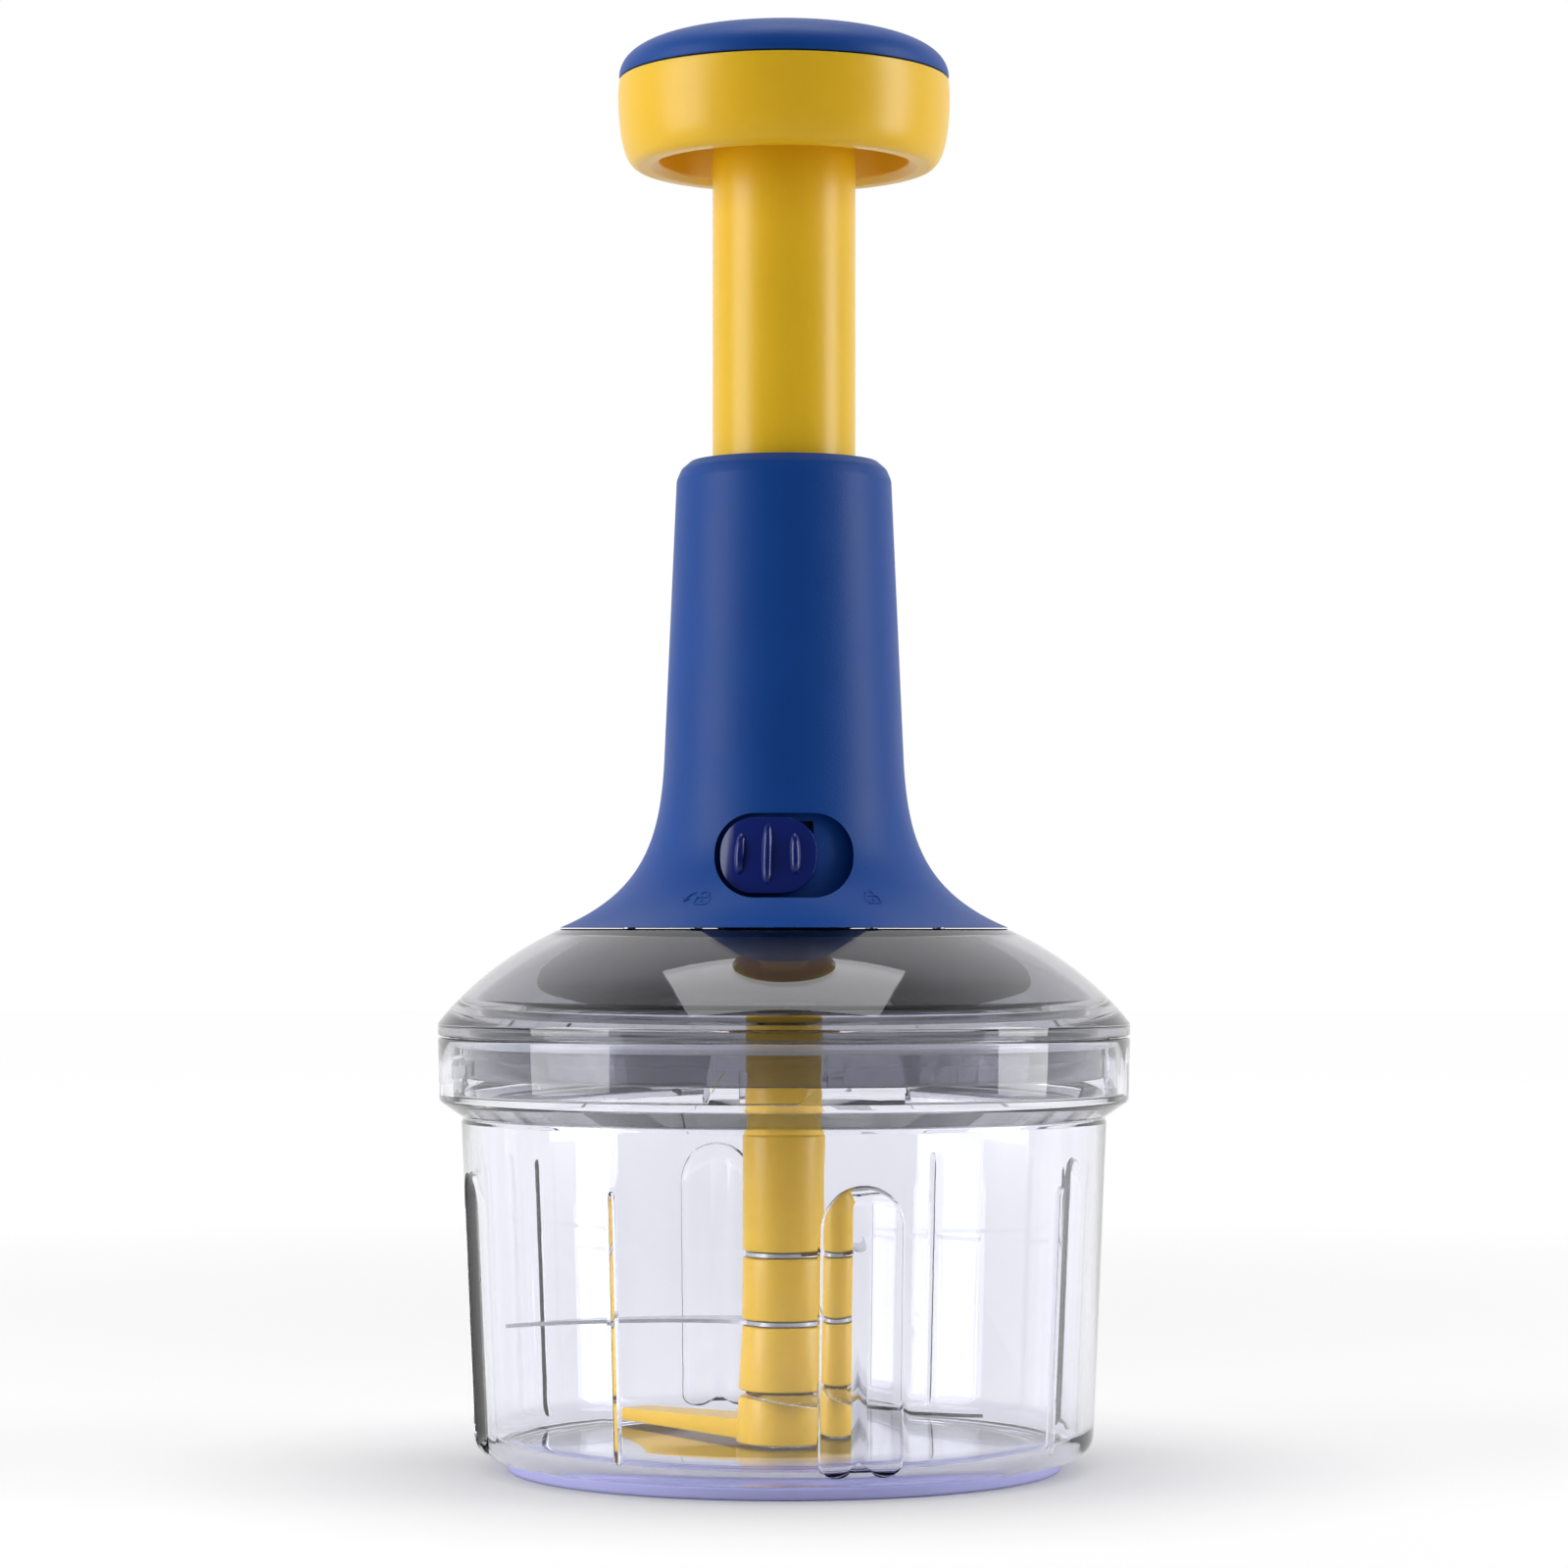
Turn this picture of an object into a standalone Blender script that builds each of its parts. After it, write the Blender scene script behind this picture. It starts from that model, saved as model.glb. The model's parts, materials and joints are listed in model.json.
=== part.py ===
"""Plunger food chopper: a clear bowl with a stack of sickle blades, a smoky lid that carries the spiral
drive in its handle, and a push knob on a sprung tube. Metres, +Z up. The origin is the centre of the
face that the bowl stands on, and the front, with the lock button, faces -Y. Azimuths are measured from
the front towards +X."""

from math import cos, hypot, pi, radians, sin

import bmesh
import bpy
from mathutils import Matrix

# Driving dimensions
COLLAR_RADIUS = 0.0750
BOWL_HEIGHT = 0.0935
LID_RISE = 0.0230
HOUSING_HEIGHT = 0.1011
HOUSING_FOOT_RADIUS = 0.0486
TUBE_RADIUS = 0.0155
STROKE = 0.0620
KNOB_RADIUS = 0.0360
DRIVE_LEAD = 0.0400
LOCK_TURN = radians(13)
LID_TURN = radians(13.5)

# Clearances
SEAT_GAP = 0.0003
RUN_GAP = 0.0004
THREAD_GAP = 0.00035
SCREW_GAP = 0.0003
OVERRUN = 0.0010
MERGE = 0.00001

# Facets
BIG_STEPS = 36
MIDDLE_STEPS = 24
SMALL_STEPS = 16
SCREW_STEPS = 10

# Foot ring
FOOT_RADIUS = 0.0600
FOOT_WIDTH = 0.0080
FOOT_HEIGHT = 0.0026
FOOT_GROOVE_DEPTH = 0.0016
FOOT_RIB_WIDTH = 0.0020
FOOT_ROUND = 0.0006

# Bowl
BOWL_BASE = FOOT_HEIGHT + SEAT_GAP
FLOOR_THICKNESS = 0.0022
FLOOR_Z = BOWL_BASE + FLOOR_THICKNESS
BOWL_WALL = 0.0028
WALL_BASE_RADIUS = 0.0672
WALL_TOP_RADIUS = 0.0701
CORNER_RADIUS = 0.0070
INNER_CORNER_RADIUS = 0.0045
COLLAR_WALL = 0.0025
COLLAR_HEIGHT = 0.0137
COLLAR_DRAFT = 0.0003
COLLAR_CHAMFER = 0.0036
RIM_ROUND = 0.0005
NECK_RADIUS = 0.0693
NECK_HEIGHT = 0.0008
LEDGE_DEPTH = 0.0122
LEDGE_WIDTH = 0.0028
LEDGE_DROP = 0.0042
COLLAR_BASE_Z = BOWL_HEIGHT - COLLAR_HEIGHT
NECK_Z = COLLAR_BASE_Z - COLLAR_CHAMFER
LEDGE_Z = BOWL_HEIGHT - LEDGE_DEPTH
COLLAR_BORE = COLLAR_RADIUS - COLLAR_WALL

# Flutes and ribs of the bowl's wall
FLUTE_COUNT = 4
FLUTE_AZIMUTH = radians(13.5)
FLUTE_WIDTH = 0.0181
FLUTE_TOP_Z = 0.0648
FLUTE_FOOT_Z = 0.0050
FLUTE_LEG_RADIUS = 0.0036
FLUTE_NOTCH = 0.0022
FLUTE_RIM_WIDTH = 0.0006
FLUTE_RIM_DEPTH = 0.0011
FLUTE_EDGE_DEPTH = 0.0003
FLUTE_FLAT = 0.0036
FLUTE_FLAT_DEPTH = 0.0019
FLUTE_FLAT_DROP = 0.0030
FLUTE_FLAT_LIFT = 0.0030
RIB_AZIMUTH = radians(-31.5)
RIB_WIDTH = 0.0016
RIB_REACH = 0.0012
RIB_TOP_Z = 0.0630
RIB_FOOT_Z = 0.0080

# Centre pin
PIN_RADIUS = 0.0025
PIN_HEIGHT = 0.0250
PIN_FLANGE_RADIUS = 0.0045
PIN_FLANGE_HEIGHT = 0.0010
PIN_BOSS_RADIUS = 0.0075
PIN_BOSS_DROP = 0.0017
PIN_RECESS_DEPTH = 0.0014
PIN_TIP = 0.0006
PIN_BOSS_Z = BOWL_BASE - PIN_BOSS_DROP
PIN_RECESS_Z = PIN_BOSS_Z + PIN_RECESS_DEPTH
PIN_TOP_Z = FLOOR_Z + PIN_HEIGHT

# Lid shell
LID_WALL = 0.0024
LID_BASE = BOWL_HEIGHT + SEAT_GAP
LID_EDGE_HEIGHT = 0.0024
LID_SHOULDER_INSET = 0.0016
LID_SHOULDER_RADIUS = COLLAR_RADIUS - LID_SHOULDER_INSET
LID_SHOULDER_RISE = 0.0047
LID_EDGE_SHARE = 0.54
DOME_SAGITTA = 0.00166
DECK_TOP = LID_BASE + LID_RISE
DECK_UNDER = DECK_TOP - LID_WALL
DECK_BORE = 0.0143
SKIRT_GAP = 0.0022
SKIRT_WALL = 0.0020
SKIRT_DEPTH = 0.0092
SKIRT_RADIUS = COLLAR_BORE - SKIRT_GAP
SKIRT_BORE = SKIRT_RADIUS - SKIRT_WALL
SKIRT_BASE = LID_BASE - SKIRT_DEPTH
BEAD_REACH = 0.0015
BEAD_HEIGHT = 0.0008

# Bayonet between lid and bowl
BAYONET_COUNT = 4
LUG_LENGTH = radians(12.5)
LUG_START = radians(7.0)
LUG_HEIGHT = 0.0026
LUG_ROOT = 0.0006
LID_LUG_Z = SKIRT_BASE + SEAT_GAP
RAMP_START = radians(-11.5)
RAMP_END = radians(6.0)
RAMP_HEIGHT = 0.0025
RAMP_Z = LID_LUG_Z + LUG_HEIGHT + RUN_GAP
STOP_LENGTH = radians(5.5)
STOP_SLANT = radians(4.5)
GUIDE_START = radians(1.8)
GUIDE_SLANT = radians(3.6)

# Lid seal
SEAL_HEIGHT = 0.0020

# Splash plate and mechanism cover under the dome
SPLASH_RISE = 0.0045
SPLASH_THICKNESS = 0.0016
SPLASH_DOME_GAP = 0.0007
SPLASH_Z = LID_BASE + SPLASH_RISE
PAN_GAP = 0.0016
PAN_WALL = 0.0012
PAN_SWELL = 0.0050
PAN_RADIUS = HOUSING_FOOT_RADIUS + PAN_SWELL
PAN_RIM_INSET = 0.0044
PAN_RIM_RADIUS = HOUSING_FOOT_RADIUS - PAN_RIM_INSET
PAN_WAIST = 0.0041
PAN_SIDE_SHARES = ((0.46, 0.24), (1.0, 0.60))
PAN_HEEL_SHARES = ((1.0, 0.65), (0.60, 0.10))
PAN_HEEL_LENGTH = 0.0116
PAN_Z = SPLASH_Z + SPLASH_THICKNESS + PAN_GAP

# Spiral shaft
LOBE_COUNT = 3
LOBE_RADIUS = 0.0046
LOBE_DEPTH = 0.0010
LOBE_POINTS = 6
SHAFT_STEP = 0.0025
JOURNAL_RADIUS = 0.0036
SHOULDER_RADIUS = 0.0072
SHOULDER_HEIGHT = 0.0015
SHAFT_SPARE = 0.0110
PILOT_DEPTH = 0.0090

# Bearing under the deck
BEARING_RADIUS = 0.0248
BEARING_THICKNESS = 0.0022
BEARING_BOSS_RISE = 0.0003
WASHER_THICKNESS = 0.0010
WASHER_RADIUS = 0.0076
SPRING_SEAT_BORE = 0.0082
SPRING_SEAT_HEIGHT = 0.0016
BEARING_TOP = DECK_UNDER - SEAT_GAP
BEARING_Z = BEARING_TOP - BEARING_THICKNESS
BEARING_BOSS_TOP = DECK_TOP - BEARING_BOSS_RISE
BEARING_BORE = JOURNAL_RADIUS + RUN_GAP
BEARING_BOSS_RADIUS = DECK_BORE - RUN_GAP
WASHER_Z = BEARING_BOSS_TOP + SEAT_GAP
SHOULDER_Z = WASHER_Z + WASHER_THICKNESS + SEAT_GAP
SPRING_SEAT_TOP = WASHER_Z + SPRING_SEAT_HEIGHT

# Guide sleeve
SLEEVE_WALL = 0.0027
SLEEVE_FLANGE_RADIUS = 0.0248
SLEEVE_FLANGE_HEIGHT = 0.0025
SLEEVE_BORE = TUBE_RADIUS + RUN_GAP
SLEEVE_RADIUS = SLEEVE_BORE + SLEEVE_WALL
SLEEVE_BASE = DECK_TOP + SEAT_GAP
EAR_REACH = 0.0015
EAR_WIDTH = 0.0040
EAR_HEIGHT = 0.0100
EAR_ROOT = 0.0006

# Housing
HOUSING_BASE = DECK_TOP + SEAT_GAP
HOUSING_TOP = HOUSING_BASE + HOUSING_HEIGHT
HOUSING_WALL = 0.0022
HOUSING_NECK_RADIUS = 0.0260
HOUSING_TOP_RADIUS = 0.0233
FLARE_HEIGHT = 0.0361
FLARE_SHARES = ((0.04, 0.47), (0.20, 0.79))
HOUSING_CHAMFER_HEIGHT = 0.0040
HOUSING_CHAMFER_WIDTH = 0.0024
HOUSING_BREAK_SHARES = (0.42, 0.72)
HOUSING_CROWN = 0.0040
HOUSING_FOOT_WALL = 0.0044
COLLET_DEPTH = 0.0057
COLLET_SLOPE = 0.0020
CORE_INSET = 0.0005

# Plunger tube
TUBE_WALL = 0.0022
TUBE_FLOOR_GAP = 0.0132
TUBE_BOTTOM = DECK_TOP + TUBE_FLOOR_GAP + STROKE
TUBE_BORE = TUBE_RADIUS - TUBE_WALL
TUBE_WEB = 0.0025
TUBE_BOSS_RADIUS = 0.0040
TUBE_BOSS_DEPTH = 0.0065

# Drive nut and its pins
NUT_HEIGHT = 0.0084
NUT_PIN_RADIUS = 0.0010
NUT_PIN_RISE = 0.0048
NUT_PIN_INNER = 0.0090
NUT_RADIUS = TUBE_BORE - SEAT_GAP

# Knob
KNOB_CLEARANCE = 0.0018
KNOB_BASE = HOUSING_TOP + STROKE + KNOB_CLEARANCE
KNOB_SIDE_HEIGHT = 0.0187
KNOB_SPLIT_Z = KNOB_BASE + KNOB_SIDE_HEIGHT
KNOB_BELT_DROP = 0.0029
KNOB_SPLIT_INSET = 0.0002
KNOB_FOOT_RADIUS = 0.0316
KNOB_SIDE_SHARES = ((0.0, 0.49), (0.23, 0.96))
KNOB_RIM_WIDTH = 0.0027
KNOB_RIM_BREAK = 0.0015
KNOB_RECESS_DRAFT = 0.0004
KNOB_RECESS_DEPTH = 0.0090
KNOB_CAP_SEAT_RADIUS = 0.0332
KNOB_WEB = 0.0021
KNOB_SOCKET_WALL = 0.0016
KNOB_SOCKET_DROP = 0.0026
CAP_SEAT_DEPTH = 0.0021
CAP_HEIGHT = 0.0104
CAP_WALL = 0.0022
CAP_EDGE = 0.0006
CAP_PLUG_WALL = 0.0020
CAP_SHARES = ((0.61, 0.0), (0.99, 0.21))
TUBE_TOP = KNOB_SPLIT_Z - CAP_SEAT_DEPTH - KNOB_WEB - SEAT_GAP

# Screws
SCREW_HEAD_RADIUS = 0.0028
SCREW_HEAD_HEIGHT = 0.0016
SCREW_RADIUS = 0.0013
SCREW_DIMPLE_RADIUS = 0.0012
SCREW_DIMPLE_DEPTH = 0.0007
SCREW_BORE = SCREW_RADIUS + SCREW_GAP
SCREW_REACH = 0.0070
KNOB_SCREW_RADIUS = 0.0016

# Screws that clamp sleeve, deck and bearing plate, and screws that hold the housing
SLEEVE_SCREW_COUNT = 3
SLEEVE_SCREW_CIRCLE = 0.0217
SLEEVE_SCREW_BITE = 0.0019
HOUSING_SCREW_COUNT = 3
HOUSING_SCREW_INSET = 0.0106
HOUSING_SCREW_CIRCLE = HOUSING_FOOT_RADIUS - HOUSING_SCREW_INSET
HOUSING_SCREW_BITE = 0.0045
HOUSING_BOSS_RADIUS = 0.0032
HOUSING_BOSS_HEIGHT = 0.0070

# Output hub with the ratchet ring and the drive bit
HUB_RADIUS = 0.0170
HUB_FLOOR = 0.0015
HUB_HEIGHT = 0.0082
HUB_Z = PAN_Z + PAN_WALL + RUN_GAP
HUB_TOP = HUB_Z + HUB_HEIGHT
RATCHET_TEETH = 12
RATCHET_PHASE_SHARE = 0.37
RATCHET_ROOT_RADIUS = 0.0145
RATCHET_TIP_RADIUS = 0.0132
NOSE_ROOT_RADIUS = 0.0074
NOSE_RADIUS = 0.0068
NOSE_TIP_RADIUS = 0.0052
NOSE_LENGTH = 0.0019
NOSE_TAPER = 0.0024
BIT_RADIUS = 0.0048
BIT_LENGTH = 0.0116
BIT_SPLINES = 3
SPLINE_WIDTH = 0.0024
SPLINE_REACH = 0.0014
SPLINE_REST = radians(27.5)
SPLINE_OFFSET = LID_TURN + SPLINE_REST
SOCKET_GAP = 0.0005

# Clutch driver and pawls on the shaft
DRIVER_RADIUS = 0.0092
DRIVER_HEIGHT = 0.0042
DRIVER_GAP = 0.0006
PAWL_COUNT = 2
PAWL_PIN_CIRCLE = 0.0076
PAWL_PIN_RADIUS = 0.0009
PAWL_HEIGHT = 0.0022
PAWL_WIDTH = 0.0026
PAWL_LENGTH = 0.0062
PAWL_SWING = radians(52)
PAWL_TIP_SHARE = 0.4
DRIVER_TOP = BEARING_Z - DRIVER_GAP
DRIVER_Z = DRIVER_TOP - DRIVER_HEIGHT
PAWL_Z = DRIVER_Z + (DRIVER_HEIGHT - PAWL_HEIGHT) / 2
KEY_RADIUS = 0.0036
KEY_FLAT_SHARE = 0.88

# Shaft guide on top of the spiral
SHAFT_TOP = TUBE_BOTTOM + NUT_HEIGHT + SHAFT_SPARE
GUIDE_HEIGHT = 0.0026
GUIDE_RADIUS = TUBE_BORE - RUN_GAP

# Return spring
SPRING_RADIUS = 0.0108
SPRING_WIRE = 0.00055
SPRING_TURNS = 9
SPRING_POINTS = 9
SPRING_LEAST_GAP = 0.0004

# Blade stack
BLADE_LENGTH = 0.0605
BLADE_THICKNESS = 0.0008
BLADE_GRIND = 0.0016
BLADE_EDGE_SHARE = 0.25
BLADE_RING_RADIUS = 0.0082
BLADE_POINTS = 10
BLADE_BACK_SHARES = ((-0.066, -0.121), (0.23, -0.31), (0.73, -0.25), (1.0, 0.0))
BLADE_FRONT_SHARES = ((0.137, 0.017), (0.30, -0.15), (0.69, -0.13), (1.0, 0.0))
BLADE_BOTTOM_TURN = radians(-48)
BLADE_MIDDLE_TURN = radians(188)
BLADE_TOP_TURN = radians(72)
PADDLE_HUB_HEIGHT = 0.0098
SPACER_LOWER_HEIGHT = 0.0136
SPACER_UPPER_HEIGHT = 0.0132
COLUMN_FOOT_RADIUS = 0.0104
COLUMN_HUB_RADIUS = 0.0099
COLUMN_RADIUS = 0.0091
SPINDLE_RADIUS = 0.0090
SPINDLE_NECK_RADIUS = 0.00835
SPINDLE_SHOULDER_RISE = 0.0244
SPINDLE_SHOULDER_ROUND = 0.0009
COLUMN_ROUND = 0.0004
HUB_BASE = FLOOR_Z + RUN_GAP
CORE_SIDES = 6
CORE_RADIUS = 0.0056
CORE_FLANGE_RADIUS = 0.0077
CORE_FLANGE_HEIGHT = 0.0012
CORE_RISE = 0.0158
PIN_RUN_GAP = 0.0003
SPINDLE_WEB = 0.0022
SPINDLE_WELL_RADIUS = 0.0034
SPINDLE_SCREW_REACH = 0.0100

# Paddle on the lowest hub
PADDLE_TURN = radians(131)
PADDLE_LENGTH = 0.0530
PADDLE_ROOT_WIDTH = 0.0150
PADDLE_TIP_WIDTH = 0.0080
PADDLE_ROOT_HEIGHT = 0.0042
PADDLE_TIP_HEIGHT = 0.0025
PADDLE_LIFT = 0.0006
PADDLE_ROOT = 0.0045

# Lock: window, button, carrier, tongue
LOCK_AZIMUTH = -LOCK_TURN / 2
WINDOW_WIDTH = 0.0294
WINDOW_BASE_Z = 0.0062
WINDOW_HEIGHT = 0.0180
WINDOW_ROUND = 0.0085
RECESS_TOP_RADIUS = 0.0252
RECESS_SLOPE_SHARE = 0.2
TUB_WALL = 0.0019
TUB_MARGIN = 0.0025
TUB_SPREAD = radians(36)
BUTTON_WIDTH = 0.0204
BUTTON_MARGIN = 0.0010
BUTTON_ROUND = 0.0072
BUTTON_THICKNESS = 0.0036
BUTTON_RIB_PITCH = 0.0056
BUTTON_RIB_WIDTH = 0.0022
BUTTON_RIB_RISE = 0.0014
BUTTON_RIB_HEIGHT = 0.0142
BUTTON_SIDE_RIB_HEIGHT = 0.0094
TONGUE_WIDTH = 0.0026
TONGUE_HEIGHT = 0.0024
TONGUE_RISE = 0.0204
TONGUE_TIP_RADIUS = 0.0137
TONGUE_GAP = 0.00035
CARRIER_RADIUS = 0.0227
CARRIER_WALL = 0.0020
CARRIER_HEIGHT = 0.0090
CARRIER_SPREAD = radians(20)
STEM_WIDTH = 0.0050
STEM_HEIGHT = 0.0040
STEM_REACH = 0.0020
WINDOW_Z = HOUSING_BASE + WINDOW_BASE_Z
WINDOW_TOP_Z = WINDOW_Z + WINDOW_HEIGHT
TONGUE_Z = DECK_TOP + TONGUE_RISE
TONGUE_MID_Z = TONGUE_Z + TONGUE_HEIGHT / 2
STEM_MID_Z = TONGUE_MID_Z - TONGUE_HEIGHT / 2

FRONT = -pi / 2


def linear(red, green, blue):
    """A colour read from a screen, 0 to 255, as the shader's own linear values."""
    shares = [channel / 255 for channel in (red, green, blue)]
    return [s / 12.92 if s <= 0.04045 else ((s + 0.055) / 1.055) ** 2.4 for s in shares] + [1]


def plastic(name, colour, roughness, metallic=0.0, transmission=0.0):
    """One Principled material."""
    material = bpy.data.materials.new(name)
    material.use_nodes = True
    shader = material.node_tree.nodes["Principled BSDF"]
    shader.inputs["Base Color"].default_value = linear(*colour)
    shader.inputs["Roughness"].default_value = roughness
    shader.inputs["Metallic"].default_value = metallic
    shader.inputs["Transmission Weight"].default_value = transmission
    return material


def clear_scene():
    for item in list(bpy.data.objects):
        bpy.data.objects.remove(item, do_unlink=True)


def new_collection(name, hidden=False):
    collection = bpy.data.collections.new(name)
    collection.hide_render = hidden
    bpy.context.scene.collection.children.link(collection)
    return collection


clear_scene()
PARTS = new_collection("food_chopper")
CUTTERS = new_collection("cutters", hidden=True)

YELLOW = plastic("yellow_plastic", (245, 200, 30), 0.35)
BLUE = plastic("blue_plastic", (0, 72, 158), 0.45)
NAVY = plastic("navy_plastic", (12, 28, 104), 0.18)
CLEAR = plastic("clear_plastic", (238, 240, 250), 0.03, transmission=1.0)
SMOKE = plastic("smoky_plastic", (150, 150, 158), 0.04, transmission=1.0)
FROST = plastic("frosted_plastic", (160, 160, 168), 0.5, transmission=0.8)
LILAC = plastic("lilac_rubber", (176, 176, 222), 0.3, transmission=0.7)
CREAM = plastic("cream_plastic", (214, 202, 170), 0.4)
STEEL = plastic("steel", (196, 198, 202), 0.25, metallic=1.0)
RUBBER = plastic("seal_rubber", (210, 212, 218), 0.55)


def wheel(azimuth):
    """The turn about +Z, from +X, of an azimuth measured from the front."""
    return FRONT + azimuth


def polar(radius, angle, z=0.0):
    return (radius * cos(angle), radius * sin(angle), z)


def arc(centre, radius, start, end, count):
    """Points of an arc in a profile or an outline."""
    angles = [start + (end - start) * i / count for i in range(count + 1)]
    return [(centre[0] + radius * cos(a), centre[1] + radius * sin(a)) for a in angles]


def bezier(p0, p1, p2, p3, count):
    """Points of a cubic curve in a profile or an outline."""
    points = []
    for i in range(count + 1):
        t = i / count
        weights = ((1 - t) ** 3, 3 * t * (1 - t) ** 2, 3 * t * t * (1 - t), t**3)
        points.append(tuple(sum(w * p[k] for w, p in zip(weights, (p0, p1, p2, p3))) for k in (0, 1)))
    return points


def swept(start, end, shares, count):
    """A cubic curve between two points, its handles given as shares of the way across and down."""
    across, down = end[0] - start[0], end[1] - start[1]
    handles = [(start[0] + across * s[0], start[1] + down * s[1]) for s in shares]
    return bezier(start, handles[0], handles[1], end, count)


def stadium(width, height, rounding, count=6):
    """A rounded rectangle about the origin."""
    x, y = width / 2 - rounding, height / 2 - rounding
    corners = ((x, y, 0), (-x, y, pi / 2), (-x, -y, pi), (x, -y, 3 * pi / 2))
    points = []
    for cx, cy, start in corners:
        points += arc((cx, cy), rounding, start, start + pi / 2, count)
    return points


def circle(radius, sides, turn=0.0):
    return [polar(radius, turn + 2 * pi * i / sides)[:2] for i in range(sides)]


def place(name, mesh, material=None, parent=None):
    """A mesh as a named object: a part when it has a material, and otherwise a cutter."""
    piece = bpy.data.objects.new(name, mesh)
    if material:
        PARTS.objects.link(piece)
        mesh.materials.clear()
        mesh.materials.append(material)
        piece.parent = parent
    else:
        CUTTERS.objects.link(piece)
        piece.hide_render = True
        piece.display_type = "WIRE"
    mesh.shade_smooth()
    mesh.set_sharp_from_angle(angle=radians(35))
    return piece


def turned(name, profile, steps, material=None, parent=None, solid=False):
    """A profile of (radius, z), down its outer side first, turned about +Z. A ring unless it is solid,
    and then its ends lie on the axis."""
    mesh = bpy.data.meshes.new(name)
    count = len(profile)
    edges = [(i, i + 1) for i in range(count - 1)] + ([] if solid else [(count - 1, 0)])
    mesh.from_pydata([(r, 0, z) for r, z in profile], edges, [])
    piece = place(name, mesh, material, parent)
    screw = piece.modifiers.new("turn", "SCREW")
    screw.axis = "Z"
    screw.angle = 2 * pi
    screw.steps = screw.render_steps = steps
    screw.use_merge_vertices = True
    screw.merge_threshold = MERGE
    return piece


def disc(name, radius, bottom, top, steps, material=None, parent=None, bore=0.0):
    """A turned disc, or a ring when it has a bore."""
    return turned(
        name,
        [(bore, top), (radius, top), (radius, bottom), (bore, bottom)],
        steps,
        material,
        parent,
        solid=not bore,
    )


def curve_mesh(name, curve):
    """A curve's solid as one welded mesh."""
    holder = bpy.data.objects.new(name, curve)
    PARTS.objects.link(holder)
    bpy.context.view_layer.update()
    mesh = bpy.data.meshes.new_from_object(holder.evaluated_get(bpy.context.evaluated_depsgraph_get()))
    bpy.data.objects.remove(holder, do_unlink=True)
    weld(mesh)
    return mesh


def plate(name, outlines, bottom, top, material=None, parent=None):
    """Flat outlines of (x, y), the first one outside, as a plate between two heights."""
    curve = bpy.data.curves.new(name, "CURVE")
    curve.dimensions = "2D"
    curve.fill_mode = "BOTH"
    curve.extrude = (top - bottom) / 2
    for outline in outlines:
        spline = curve.splines.new("POLY")
        spline.points.add(len(outline) - 1)
        for point, (x, y) in zip(spline.points, outline):
            point.co = (x, y, 0, 1)
        spline.use_cyclic_u = True
    piece = place(name, curve_mesh(name, curve), material, parent)
    piece.location.z = (top + bottom) / 2
    return piece


def weld(mesh):
    work = bmesh.new()
    work.from_mesh(mesh)
    bmesh.ops.remove_doubles(work, verts=work.verts, dist=MERGE)
    bmesh.ops.recalc_face_normals(work, faces=work.faces)
    work.to_mesh(mesh)
    work.free()


def lofted(name, rings, material=None, parent=None):
    """A closed solid through rings of as many points each, with flat ends."""
    work = bmesh.new()
    rows = [[work.verts.new(point) for point in ring] for ring in rings]
    count = len(rows[0])
    for low, high in zip(rows, rows[1:]):
        for i in range(count):
            work.faces.new((low[i], low[(i + 1) % count], high[(i + 1) % count], high[i]))
    work.faces.new(rows[0])
    work.faces.new(rows[-1])
    bmesh.ops.recalc_face_normals(work, faces=work.faces)
    mesh = bpy.data.meshes.new(name)
    work.to_mesh(mesh)
    work.free()
    return place(name, mesh, material, parent)


def sector(name, profile, start, end, steps, material=None, parent=None):
    """A profile of (radius, z) swept about +Z between two azimuths. The profile may be a function of the
    share of the way."""
    rings = []
    for i in range(steps + 1):
        share = i / steps
        angle = wheel(start + (end - start) * share)
        points = profile(share) if callable(profile) else profile
        rings.append([polar(r, angle, z) for r, z in points])
    return lofted(name, rings, material, parent)


def block(name, width, radii, heights, azimuth=0.0, material=None, parent=None):
    """A box that points outwards at an azimuth, between two radii and two heights."""
    work = bmesh.new()
    bmesh.ops.create_cube(work, size=1)
    bmesh.ops.scale(work, verts=work.verts, vec=(radii[1] - radii[0], width, heights[1] - heights[0]))
    middle = ((radii[0] + radii[1]) / 2, 0, (heights[0] + heights[1]) / 2)
    bmesh.ops.translate(work, verts=work.verts, vec=middle)
    bmesh.ops.rotate(work, verts=work.verts, matrix=Matrix.Rotation(wheel(azimuth), 3, "Z"))
    mesh = bpy.data.meshes.new(name)
    work.to_mesh(mesh)
    work.free()
    return place(name, mesh, material, parent)


def rod(name, radius, sides, ends, material=None, parent=None):
    """A straight round rod between two points."""
    work = bmesh.new()
    low, high = (Matrix.Translation(end).translation for end in ends)
    along = high - low
    bmesh.ops.create_cone(
        work, cap_ends=True, segments=sides, radius1=radius, radius2=radius, depth=along.length
    )
    turn = along.to_track_quat("Z", "Y").to_matrix()
    bmesh.ops.rotate(work, verts=work.verts, matrix=turn)
    bmesh.ops.translate(work, verts=work.verts, vec=(low + high) / 2)
    mesh = bpy.data.meshes.new(name)
    work.to_mesh(mesh)
    work.free()
    return place(name, mesh, material, parent)


def drill(name, radius, bottom, top, steps):
    """A round hole on the axis, as a cutter."""
    return rod(name, radius, steps, ((0, 0, bottom), (0, 0, top)))


def combine(piece, other, operation):
    """Cuts a piece with another, joins it on, or keeps what they share."""
    boolean = piece.modifiers.new(other.name, "BOOLEAN")
    boolean.operation = operation
    boolean.solver = "EXACT"
    boolean.object = other
    return piece


def cut(piece, *others):
    for other in others:
        combine(piece, other, "DIFFERENCE")


def join(piece, *others):
    for other in others:
        combine(piece, other, "UNION")


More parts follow.
